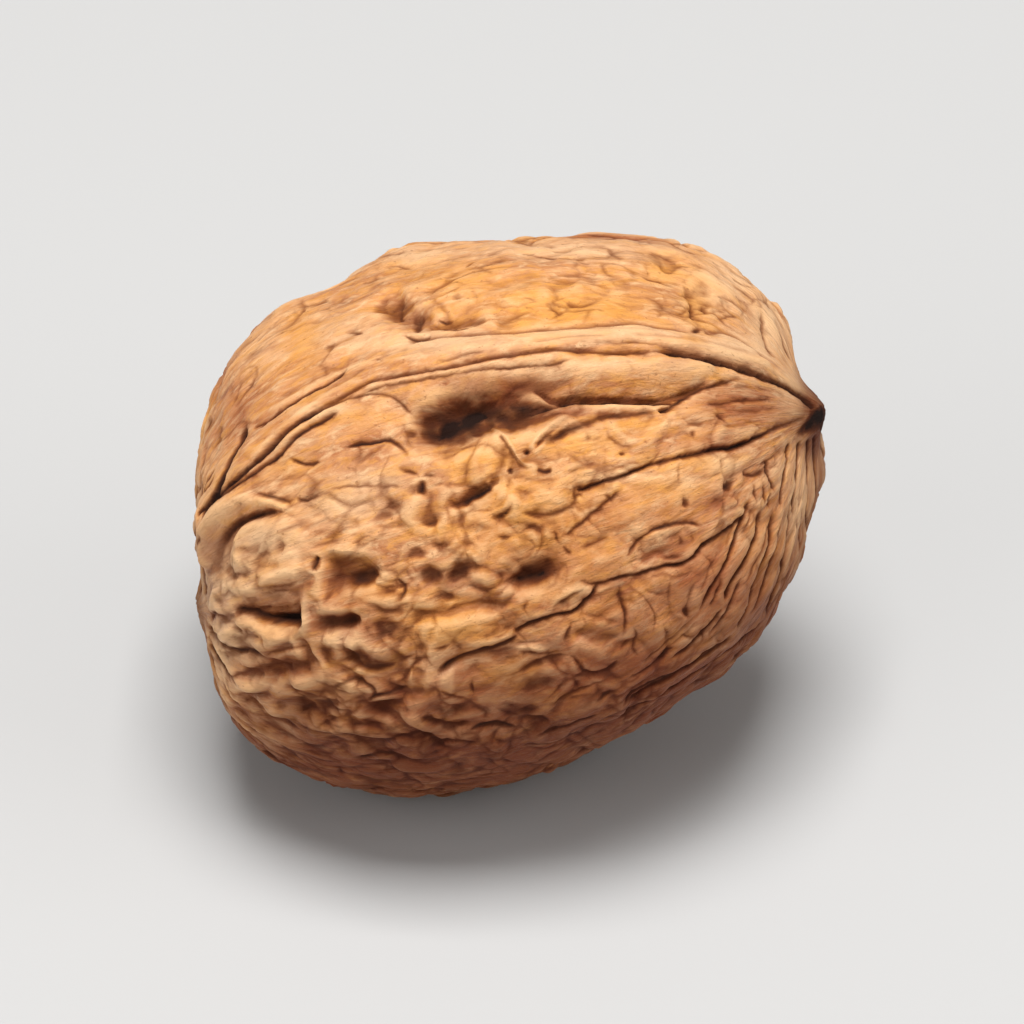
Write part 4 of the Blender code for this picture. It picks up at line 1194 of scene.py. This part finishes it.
made = []
for k in range(110):
    lon, lat = random_place()
    d = direction(lon, lat)
    if abs(float(seam_distance(d[None, :], np.array([17.0]))[0])) < 2.6 or abs(lat) > 70:
        continue
    p = d * float(body_radius(d[None, :])[0])
    long_half, wide_half = rng.uniform(0.5, 1.9), rng.uniform(0.3, 0.8)
    if lat > 20 and rng.random() < 0.45:
        continue
    if any(np.linalg.norm(p - q) < long_half + r * 0.9 for q, r in made):
        continue
    made.append((p, long_half))
    outward = unit(p)
    lengthwise = unit(np.array([1.0, 0.0, 0.0]) - outward * outward[0])
    sideways = np.cross(outward, lengthwise)
    angle = rng.normal(0.0, 0.35)
    first = lengthwise * math.cos(angle) + sideways * math.sin(angle)
    second = np.cross(outward, first)
    depth = rng.uniform(0.25, 0.9) * min(1.0, 0.45 + wide_half * 0.7)
    add_pit(p, first * long_half, second * wide_half, depth, dark=min(1.1, 0.45 + depth * 0.8), steep=rng.uniform(0.1, 0.4), rough=0.3, lean=(rng.uniform(-0.4, 0.4), rng.uniform(-0.4, 0.4)))

# the scar at the base, where the stalk was
scar = direction(175.0, -84.0)
scar = scar * float(body_radius(scar[None, :])[0])
add_pit(scar, np.array([0.0, 2.0, 0.0]), np.array([0.0, 0.0, 1.3]), 0.5, dark=0.85, rim=0.12, steep=0.3, rough=0.3)

HEIGHT -= VALLEY

# ---------------------------------------------------------------- soften the relief's overlaps
edges = np.concatenate([QUADS[:, [0, 1]], QUADS[:, [1, 2]], QUADS[:, [2, 3]], QUADS[:, [3, 0]]])
edges = np.unique(np.sort(edges, axis=1), axis=0)
degree = np.bincount(edges.reshape(-1), minlength=len(D)).astype(float)
HEIGHT = np.where(HEIGHT < -1.9, -1.9 + (HEIGHT + 1.9) * 0.3, HEIGHT)
HEIGHT = np.where(HEIGHT > 0.55, 0.55 + (HEIGHT - 0.55) * 0.3, HEIGHT)
fine = smoothed(HEIGHT, edges, degree, max(2, LATTICE // 28))
broad = smoothed(fine, edges, degree, 60)
CAVITY = np.clip((HEIGHT - fine) / 0.06 * 0.22 + (fine - broad) / 0.11 * 0.78, -1.0, 1.0)
outline = 0.3 * np.exp(-((FACING / 0.2) ** 2))
HEIGHT = HEIGHT + (fine - HEIGHT) * np.clip(0.3 * TRACED + 0.35 * cobbled + outline, 0.0, 0.75)

# ---------------------------------------------------------------- colour masks
def blot(mask, x, y, rx, ry, amount, angle=0.0):
    """A soft patch of colour where it shows in the camera's view."""
    c, s = math.cos(math.radians(angle)), math.sin(math.radians(angle))
    dx, dy = PIXEL[:, 0] - x, -(PIXEL[:, 1] - y)
    u, v = (dx * c + dy * s) / rx, (-dx * s + dy * c) / ry
    return np.maximum(mask, amount * np.exp(-(u * u + v * v)) * TRACED)


nothing = np.zeros(len(D))
orange, pink, pale_and_highlight, umber_and_shade = nothing.copy(), nothing.copy(), nothing.copy(), nothing.copy()
for x, y, rx, ry, amount in (
    (335, 412, 36, 22, 0.5), (305, 450, 22, 9, 0.9), (348, 333, 34, 9, 0.75), (384, 319, 8, 7, 0.7),
    (397, 330, 7, 13, 0.75), (305, 322, 22, 7, 0.45), (251, 346, 7, 12, 0.5), (352, 384, 18, 6, 0.65),
    (375, 377, 10, 4, 0.5), (343, 438, 13, 5, 0.75), (384, 400, 16, 5, 0.45), (400, 391, 12, 4, 0.6),
    (328, 469, 12, 7, 0.5), (315, 388, 18, 6, 0.65), (288, 318, 12, 5, 0.4), (330, 338, 9, 5, 0.7),
    (275, 440, 14, 5, 0.5), (300, 415, 14, 5, 0.55), (238, 428, 8, 3, 0.6), (360, 424, 9, 4, 0.45),
    (240, 453, 10, 3, 0.5), (270, 373, 8, 5, 0.35), (300, 378, 10, 4, 0.2), (353, 449, 10, 5, 0.4),
    (262, 475, 10, 4, 0.4), (428, 426, 12, 28, 0.3), (333, 325, 10, 4, 0.5), (330, 400, 18, 8, 0.5), (246, 392, 12, 4, 0.35),
):
    orange = blot(orange, x, y, rx, ry, amount)
for x, y, rx, ry, amount in (
    (413, 370, 20, 7, 0.85), (443, 402, 6, 26, 0.5), (400, 436, 30, 26, 0.8), (345, 440, 52, 32, 0.48), (366, 452, 36, 22, 0.55), (300, 498, 70, 14, 0.6), (314, 462, 22, 8, 0.5), (275, 456, 44, 14, 0.35), (335, 415, 40, 14, 0.2), (322, 367, 24, 7, 0.6), (240, 466, 20, 8, 0.7),
    (424, 420, 12, 30, 0.5), (370, 468, 46, 17, 0.95), (300, 482, 66, 16, 0.75), (444, 380, 5, 8, 0.8), (390, 412, 18, 8, 0.5),
    (404, 384, 18, 4, 0.7), (312, 364, 12, 4, 0.6), (268, 446, 30, 12, 0.5), (356, 440, 9, 6, 0.6), (344, 457, 10, 5, 0.6), (225, 447, 10, 6, 0.3),
    (366, 410, 10, 8, 0.5), (357, 430, 12, 8, 0.5), (366, 448, 14, 10, 0.7), (262, 446, 14, 10, 0.4), (340, 464, 12, 8, 0.6),
    (378, 462, 26, 14, 0.7), (405, 405, 8, 6, 0.8), (300, 490, 50, 12, 0.5), (330, 362, 13, 4, 0.75),
    (242, 441, 12, 5, 0.7), (262, 434, 9, 7, 0.5), (216, 424, 6, 9, 0.7), (352, 370, 8, 4, 0.6),
    (386, 421, 9, 5, 0.6), (345, 417, 8, 4, 0.4), (262, 462, 20, 6, 0.5), (330, 478, 16, 8, 0.4),
    (240, 376, 10, 8, 0.4), (226, 372, 7, 12, 0.5), (348, 443, 7, 3, 0.6), (300, 358, 16, 3, 0.2),
    (280, 406, 9, 4, 0.4), (420, 395, 10, 10, 0.35), (310, 404, 12, 4, 0.4), (298, 430, 12, 5, 0.4),
):
    pink = blot(pink, x, y, rx, ry, amount)
# lighter patches, partly the shell's own colour and partly painted highlight on lit crests and the upper edge
for x, y, rx, ry, amount in (
    (298, 346, 34, 4.5, 0.85), (413, 348, 17, 6, 1.0), (366, 342.5, 34, 3.2, 0.8), (236, 419, 13, 8, 0.9),
    (222, 436, 9, 5, 1.0), (276, 398, 14, 5, 0.7), (407, 392, 9, 4, 0.6), (437, 404, 5, 16, 0.55), (240, 440, 9, 3, 0.5), (221, 457, 9, 14, 0.9), (217, 440, 6, 10, 0.9), (228, 437, 6, 4, 1.0), (219, 463, 6, 16, 0.9), (436, 410, 6, 22, 0.7), (243, 424, 10, 6, 0.6), (227, 457, 6, 5, 0.9), (395, 440, 5, 4, 0.3), (300, 468, 7, 3, 0.4), (268, 475, 7, 3, 0.35), (232, 473, 7, 3, 0.5), (362, 355, 40, 2.6, 0.6), (266, 406, 16, 5, 0.8),
    (410, 322, 16, 11, 0.8), (350, 312, 44, 4, 0.7), (293, 313, 15, 4, 0.75), (262, 413, 12, 3, 0.5),
    (363, 396, 13, 2.6, 0.5), (264, 456, 9, 3, 0.55), (247, 419, 5, 6, 0.7), (434, 362, 9, 9, 0.7), (424, 338, 10, 13, 0.9),
    (245, 431, 8, 2.2, 0.8), (251, 446, 2.2, 8, 0.7), (320, 357, 22, 1.8, 0.6), (258, 371, 14, 2, 0.6),
    (218, 444, 5, 6, 0.8), (224, 430, 12, 14, 0.8), (266, 340, 14, 7, 0.4), (235, 345, 8, 12, 0.35), (330, 374, 14, 2, 0.0),
    (428, 395, 8, 8, 0.35), (392, 397, 14, 3, 0.35), (270, 424.4, 8, 1.6, 0.6), (219, 408, 7, 5, 0.5),
    (260, 446, 6, 1.6, 0.5), (334, 459, 10, 1.4, 0.6), (352, 437.4, 8, 1.8, 0.5), (408, 408, 2, 2, 0.6),
):
    pale_and_highlight = blot(pale_and_highlight, x, y, rx, ry, amount)
# dark brown patches, partly the shell's own colour and partly painted shade on the lower side
for x, y, rx, ry, amount in (
    (300, 502, 90, 20, 1.0), (350, 490, 54, 20, 0.95), (392, 472, 34, 16, 0.8), (256, 498, 34, 12, 0.9), (437, 380, 7, 6, 0.6), (285, 484, 50, 12, 0.45), (335, 486, 44, 12, 0.7), (225, 485, 10, 7, 0.5),
    (305, 433, 11, 5, 0.6), (337, 433, 10, 5, 0.8), (324, 462, 8, 5, 0.8), (246, 471, 14, 6, 0.45), (236, 478, 9, 6, 0.45),
    (279, 454, 10, 4, 0.6), (386, 437, 12, 8, 0.2), (408, 452, 14, 8, 0.35), (342, 458, 8, 4, 0.5), (368, 440, 6, 6, 0.4), (262, 448, 9, 3, 0.5),
    (303, 374, 9, 8, 0.6), (346, 371, 8, 5, 0.5), (252, 469, 9, 5, 0.5), (306, 436, 7, 4, 0.7), (254, 434, 4, 5, 0.3), (366, 472, 12, 5, 0.4),
    (286, 478, 12, 6, 0.7), (262, 451, 9, 4, 0.5), (345, 478, 14, 6, 0.6), (312, 470, 12, 4, 0.5), (320, 362, 18, 5, 0.6), (295, 373, 6, 7, 0.6),
    (350, 368, 9, 5, 0.5), (276, 464, 9, 5, 0.7), (330, 447, 8, 4, 0.4), (268, 434, 7, 6, 0.5), (240, 446, 10, 4, 0.5),
):
    umber_and_shade = blot(umber_and_shade, x, y, rx, ry, amount)

patch_a = fbm(grained(5.5, 8.0) + 31.0, 211, 3)
patch_b = fbm(grained(6.5, 9.0) + 11.0, 221, 3)
patch_c = fbm(grained(3.2, 7.0) + 5.0, 231, 3)
hidden = 1.0 - TRACED
orange = orange + hidden * 0.75 * smoothstep(0.0, 0.75, patch_a)
pink = pink + hidden * 0.8 * smoothstep(-0.05, 0.65, patch_b)
# lighter on the far side's crests: partly the shell's own colour, partly painted highlight
pale_and_highlight = pale_and_highlight + hidden * 0.75 * smoothstep(0.1, 0.7, patch_c + 0.5 * np.clip(CAVITY, -1, 1))
# darker where the shell faces down: painted shade on the underside, added to the dark brown patch
under = smoothstep(0.42, -0.5, (NORMAL @ AXES.T)[:, 2] + 0.12 * patch_b)
left_edge = np.exp(-(((PIXEL[:, 0] - 214.0) / 24.0) ** 2)) * TRACED
umber_and_shade = np.maximum(umber_and_shade, 0.95 * under * (1.0 - 0.75 * left_edge))
umber_and_shade = np.maximum(umber_and_shade, 0.9 * smoothstep(78.0, 86.0, LAT))
umber_and_shade = np.maximum(umber_and_shade, 0.6 * smoothstep(-79.0, -86.0, LAT))


# ---------------------------------------------------------------- the mesh
def place(d, radius):
    return (d * radius[:, None]) @ AXES.T


dense_out = place(D, BODY)
low, high = dense_out.min(axis=0), dense_out.max(axis=0)
box_low, box_high = (np.array(c) * 1000.0 for c in CAD_BOX)
CENTRE = np.array(
    [
        (box_low[0] + box_high[0]) / 2.0 - (low[0] + high[0]) / 2.0,
        (box_low[1] + box_high[1]) / 2.0 - (low[1] + high[1]) / 2.0,
        box_high[2] - high[2],
    ]
)
world = place(D, BODY + HEIGHT) + CENTRE
# rests on its flat spot: what would be lower is flat
world[:, 2] = np.maximum(world[:, 2], 0.0)
INSET = 0.03
for axis in range(3):
    top = box_high[axis] - INSET
    over = world[:, axis] > top - 0.25
    world[over, axis] = top - 0.25 + 0.25 * (1.0 - np.exp(-(world[over, axis] - top + 0.25) / 0.25))
    if axis < 2:
        bottom = box_low[axis] + INSET
        over = world[:, axis] < bottom + 0.25
        world[over, axis] = bottom + 0.25 - 0.25 * (1.0 - np.exp((world[over, axis] - bottom - 0.25) / 0.25))


def mesh_from(points, quads):
    mesh = bpy.data.meshes.new("walnut_shell")
    mesh.vertices.add(len(points))
    mesh.vertices.foreach_set("co", (points * 0.001).astype(np.float32).reshape(-1))
    mesh.loops.add(quads.size)
    mesh.loops.foreach_set("vertex_index", quads.astype(np.int32).reshape(-1))
    mesh.polygons.add(len(quads))
    mesh.polygons.foreach_set("loop_start", np.arange(0, quads.size, quads.shape[1], dtype=np.int32))
    mesh.update(calc_edges=True)
    mesh.validate()
    return mesh


shell = bpy.data.objects.new("walnut_shell", mesh_from(world, QUADS))
bpy.context.scene.collection.objects.link(shell)
thin = shell.modifiers.new("fewer_faces", "DECIMATE")
thin.ratio = min(1.0, TRIANGLES / (2.0 * len(QUADS)))
bpy.context.view_layer.update()
fewer = bpy.data.meshes.new_from_object(shell.evaluated_get(bpy.context.evaluated_depsgraph_get()))
shell.modifiers.clear()
rough_mesh = shell.data
shell.data = fewer
bpy.data.meshes.remove(rough_mesh)
fewer.name = "walnut_shell"
fewer.shade_smooth()

co = np.empty(len(fewer.vertices) * 3, np.float32)
fewer.vertices.foreach_get("co", co)
co = co.reshape(-1, 3).astype(float) * 1000.0
co[:, 2] = np.maximum(co[:, 2], 0.0)
fewer.vertices.foreach_set("co", (co * 0.001).astype(np.float32).reshape(-1))
fewer.update()
kept_direction = unit((co - CENTRE) @ AXES)


def give(name, values, kind="FLOAT"):
    """A value at each of the thinned mesh's points, read from the lattice."""
    found = sample(FACES_INDEX, values, kept_direction)
    attribute = fewer.attributes.new(name, kind, "POINT")
    if kind == "FLOAT":
        attribute.data.foreach_set("value", found.astype(np.float32))
    elif kind == "FLOAT_VECTOR":
        attribute.data.foreach_set("vector", found.astype(np.float32).reshape(-1))
    else:
        attribute.data.foreach_set("color", found.astype(np.float32).reshape(-1))


# how dark each crevice is painted, partly the shell's own brown and partly painted shade
give("crevice", np.clip(DARK, 0.0, 1.4))
give("cavity", CAVITY)
# its channels: orange, pink, a lighter patch that is partly painted highlight, and a dark brown patch that is partly
# painted shade
give("patches", np.stack([orange, pink, pale_and_highlight, umber_and_shade], -1).clip(0, 1), "FLOAT_COLOR")
lon_k, lat_k = lon_lat(kept_direction)
grain = np.stack([17.3 * np.cos(np.radians(lon_k)), 17.3 * np.sin(np.radians(lon_k)), np.radians(lat_k) * 19.5], -1)
grain_attribute = fewer.attributes.new("grain", "FLOAT_VECTOR", "POINT")
grain_attribute.data.foreach_set("vector", grain.astype(np.float32).reshape(-1))


# ---------------------------------------------------------------- the shell's material
def srgb(r, g, b):
    def linear(c):
        return c / 12.92 if c <= 0.04045 else ((c + 0.055) / 1.055) ** 2.4

    return (linear(r), linear(g), linear(b), 1.0)


def shell_material():
    material = bpy.data.materials.new("walnut_shell")
    material.use_nodes = True
    tree = material.node_tree
    nodes, links = tree.nodes, tree.links
    surface = nodes["Principled BSDF"]

    def attribute(name):
        node = nodes.new("ShaderNodeAttribute")
        node.attribute_name = name
        return node

    def maths(operation, a, b=None, clamp=False):
        node = nodes.new("ShaderNodeMath")
        node.operation = operation
        node.use_clamp = clamp
        for socket, value in zip(node.inputs, (a, b)):
            if value is None:
                continue
            if isinstance(value, (int, float)):
                socket.default_value = value
            else:
                links.new(value, socket)
        return node.outputs[0]

    def mapped(value, low, high, out_low=0.0, out_high=1.0):
        node = nodes.new("ShaderNodeMapRange")
        node.clamp = True
        links.new(value, node.inputs["Value"])
        for name, number in (("From Min", low), ("From Max", high), ("To Min", out_low), ("To Max", out_high)):
            node.inputs[name].default_value = number
        return node.outputs["Result"]

    def mixed(factor, a, b, blend="MIX"):
        node = nodes.new("ShaderNodeMix")
        node.data_type = "RGBA"
        node.blend_type = blend
        node.clamp_factor = True
        factor_socket, a_socket, b_socket = node.inputs[0], node.inputs[6], node.inputs[7]
        for socket, value in ((factor_socket, factor), (a_socket, a), (b_socket, b)):
            if isinstance(value, (int, float, tuple)):
                socket.default_value = value
            else:
                links.new(value, socket)
        return node.outputs[2]

    grain_node = attribute("grain")

    def noise(scale, stretch=1.0, detail=3.0, rough=0.55, distortion=0.0, offset=0.0):
        """Noise with features of 1/scale mm round the nut, and stretch times that along it."""
        place_node = nodes.new("ShaderNodeMapping")
        place_node.inputs["Scale"].default_value = (scale, scale, scale / stretch)
        place_node.inputs["Location"].default_value = (offset, offset * 1.7, offset * 0.6)
        links.new(grain_node.outputs["Vector"], place_node.inputs["Vector"])
        node = nodes.new("ShaderNodeTexNoise")
        node.inputs["Scale"].default_value = 1.0
        node.inputs["Detail"].default_value = detail
        node.inputs["Roughness"].default_value = rough
        node.inputs["Distortion"].default_value = distortion
        links.new(place_node.outputs["Vector"], node.inputs["Vector"])
        return node.outputs["Fac"]

    patches = attribute("patches")
    parts = nodes.new("ShaderNodeSeparateColor")
    links.new(patches.outputs["Color"], parts.inputs["Color"])
    orange_mask, pink_mask, pale_and_highlight_mask = (parts.outputs[k] for k in range(3))
    umber_and_shade_mask = patches.outputs["Alpha"]
    crevice = attribute("crevice").outputs["Fac"]
    cavity = attribute("cavity").outputs["Fac"]

    # the shell's ground colour: tan, mottled in streaks along the nut
    mottle = noise(0.45, 2.0, 4.0, 0.6, 0.6)
    flecks = noise(1.15, 2.4, 4.0, 0.62, 0.5, 27.0)
    streaks = noise(2.6, 6.5, 4.0, 0.65, 0.4, 3.0)
    blotches = noise(0.27, 1.5, 4.0, 0.6, 0.8, 41.0)
    colour = mixed(mapped(mottle, 0.36, 0.62), srgb(0.705, 0.455, 0.288), srgb(0.865, 0.636, 0.436))
    colour = mixed(mapped(blotches, 0.50, 0.64, 0.0, 0.55), colour, srgb(0.62, 0.39, 0.266))
    colour = mixed(mapped(blotches, 0.48, 0.36, 0.0, 0.50), colour, srgb(0.91, 0.656, 0.405))
    colour = mixed(mapped(flecks, 0.50, 0.62, 0.0, 0.70), colour, srgb(0.84, 0.58, 0.285))
    colour = mixed(mapped(flecks, 0.47, 0.34, 0.0, 0.70), colour, srgb(0.90, 0.73, 0.55))
    colour = mixed(mapped(streaks, 0.52, 0.68, 0.0, 0.45), colour, srgb(0.61, 0.375, 0.21))
    colour = mixed(mapped(streaks, 0.44, 0.28, 0.0, 0.40), colour, srgb(0.92, 0.76, 0.58))
    # patches, with ragged edges; the lighter patch is partly painted highlight, and the darkest brown one is partly
    # painted shade on the lower side
    ragged = mapped(noise(0.9, 2.0, 5.0, 0.65, 0.8, 7.0), 0.25, 0.75, -0.35, 0.35)

    def patch(mask, strength):
        return maths("MULTIPLY", mapped(maths("ADD", mask, maths("MULTIPLY", ragged, mask)), 0.05, 0.95), strength)

    colour = mixed(patch(orange_mask, 0.85), colour, srgb(0.89, 0.62, 0.285))
    colour = mixed(patch(pink_mask, 0.90), colour, srgb(0.61, 0.33, 0.19))
    colour = mixed(patch(pale_and_highlight_mask, 0.85), colour, srgb(0.90, 0.735, 0.565))
    colour = mixed(patch(umber_and_shade_mask, 0.92), colour, srgb(0.42, 0.185, 0.08))
    # lighter crests, partly wear and partly painted highlight; darker hollows, partly the shell's own brown and partly
    # painted shade
    worn_and_highlight = maths("MULTIPLY", mapped(cavity, 0.10, 0.85, 0.0, 0.52), mapped(umber_and_shade_mask, 0.15, 0.80, 1.0, 0.12))
    worn_and_highlight = maths("MULTIPLY", worn_and_highlight, mapped(pink_mask, 0.20, 0.90, 1.0, 0.45))
    colour = mixed(worn_and_highlight, colour, srgb(0.93, 0.75, 0.55))
    colour = mixed(mapped(cavity, -0.02, -0.60, 0.0, 0.80), colour, (0.48, 0.34, 0.265, 1.0), "MULTIPLY")
    # fine darker specks and pores
    specks = maths("MULTIPLY", mapped(noise(3.4, 1.3, 2.0, 0.5, 0.0, 12.0), 0.66, 0.74), 0.45)
    colour = mixed(specks, colour, srgb(0.50, 0.30, 0.17))
    # crevices, partly the shell's own brown and partly painted shade: reddish brown, then dark brown, then nearly black
    dirt_and_shade = maths("ADD", crevice, mapped(noise(1.6, 2.0, 4.0, 0.6, 0.0, 5.0), 0.2, 0.8, -0.12, 0.12))
    dirt_and_shade = maths("MULTIPLY", dirt_and_shade, mapped(crevice, 0.0, 0.12))
    colour = mixed(mapped(dirt_and_shade, 0.10, 0.50, 0.0, 0.84), colour, (0.42, 0.30, 0.24, 1.0), "MULTIPLY")
    colour = mixed(mapped(dirt_and_shade, 0.45, 0.92, 0.0, 0.90), colour, srgb(0.25, 0.125, 0.07))
    colour = mixed(mapped(dirt_and_shade, 0.92, 1.25, 0.0, 0.90), colour, srgb(0.10, 0.05, 0.035))
    links.new(colour, surface.inputs["Base Color"])

    sheen_spots = noise(1.2, 3.0, 3.0, 0.6, 0.0, 21.0)
    roughness = mapped(sheen_spots, 0.3, 0.7, 0.46, 0.64)
    roughness = maths("ADD", roughness, mapped(crevice, 0.1, 0.6, 0.0, 0.35), clamp=True)
    links.new(roughness, surface.inputs["Roughness"])
    surface.inputs["Specular IOR Level"].default_value = 0.16

    # bump: fibres along the nut, and a fine tooth
    fibres = noise(4.5, 9.0, 3.0, 0.6, 0.2, 15.0)
    tooth = noise(6.5, 1.5, 3.0, 0.6, 0.0, 18.0)
    waves = noise(1.7, 2.6, 3.0, 0.55, 0.5, 9.0)
    relief = maths("ADD", maths("MULTIPLY", fibres, 0.05), maths("MULTIPLY", tooth, 0.045))
    relief = maths("ADD", relief, maths("MULTIPLY", waves, 0.14))
    bump_node = nodes.new("ShaderNodeBump")
    bump_node.inputs["Strength"].default_value = 1.0
    bump_node.inputs["Distance"].default_value = 0.001
    links.new(relief, bump_node.inputs["Height"])
    links.new(bump_node.outputs["Normal"], surface.inputs["Normal"])
    return material


fewer.materials.clear()
fewer.materials.append(shell_material())
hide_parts("walnut")
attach(shell, "root")


# ---------------------------------------------------------------- floor, light and camera
def floor_material():
    material = bpy.data.materials.new("floor")
    material.use_nodes = True
    surface = material.node_tree.nodes["Principled BSDF"]
    surface.inputs["Base Color"].default_value = (0.53, 0.535, 0.54, 1.0)
    surface.inputs["Roughness"].default_value = 0.8
    surface.inputs["Specular IOR Level"].default_value = 0.1
    return material


bpy.ops.mesh.primitive_plane_add(size=8.0, location=(0.0, 0.0, -0.00002))
floor = bpy.context.object
floor.name = "floor"
floor.data.materials.append(floor_material())


def soft_light(name, place_at, size, power, colour, size_y=None):
    data = bpy.data.lights.new(name, "AREA")
    data.shape = "RECTANGLE"
    data.size = size
    data.size_y = size_y or size
    data.energy = power
    data.color = colour
    lamp = bpy.data.objects.new(name, data)
    bpy.context.scene.collection.objects.link(lamp)
    at = np.array(place_at, float)
    back = unit(at - np.array([0.0, 0.0, 0.015]))
    right = unit(np.cross(np.array([0.0, 0.0, 1.0]), back) if abs(back[2]) < 0.999 else np.array([1.0, 0.0, 0.0]))
    up = np.cross(back, right)
    turn = Matrix(((right[0], up[0], back[0]), (right[1], up[1], back[1]), (right[2], up[2], back[2])))
    lamp.matrix_world = Matrix.Translation(at.tolist()) @ turn.to_4x4()
    return lamp


soft_light("key", (-0.01, -0.04, 0.66), 0.32, 5.05, (1.0, 0.985, 0.965))
soft_light("left_fill", (-0.80, -0.38, 0.42), 0.75, 2.7, (1.0, 0.98, 0.96))
soft_light("right_fill", (0.78, -0.38, 0.46), 0.75, 2.45, (1.0, 0.98, 0.96))

world_data = bpy.data.worlds.new("studio")
bpy.context.scene.world = world_data
world_data.use_nodes = True
background = world_data.node_tree.nodes["Background"]
background.inputs["Color"].default_value = (1.0, 0.965, 0.925, 1.0)
background.inputs["Strength"].default_value = 0.23

bpy.context.scene.view_settings.view_transform = "Standard"
bpy.context.scene.view_settings.look = "None"

camera_data = bpy.data.cameras.new("camera")
camera = bpy.data.objects.new("camera", camera_data)
bpy.context.scene.collection.objects.link(camera)
right, up, back = camera_basis()
turn = Matrix(((right[0], up[0], back[0]), (right[1], up[1], back[1]), (right[2], up[2], back[2])))
middle = CENTRE * 0.001
camera.matrix_world = Matrix.Translation((middle + back * CAMERA_DISTANCE * 0.001).tolist()) @ turn.to_4x4()
camera_data.sensor_fit = "HORIZONTAL"
camera_data.sensor_width = 36.0
camera_data.lens = 36.0 * CAMERA_DISTANCE * PX_PER_MM * ZOOM / 1024.0
camera_data.clip_start = 0.01
camera_data.clip_end = 50.0
bpy.context.scene.camera = camera
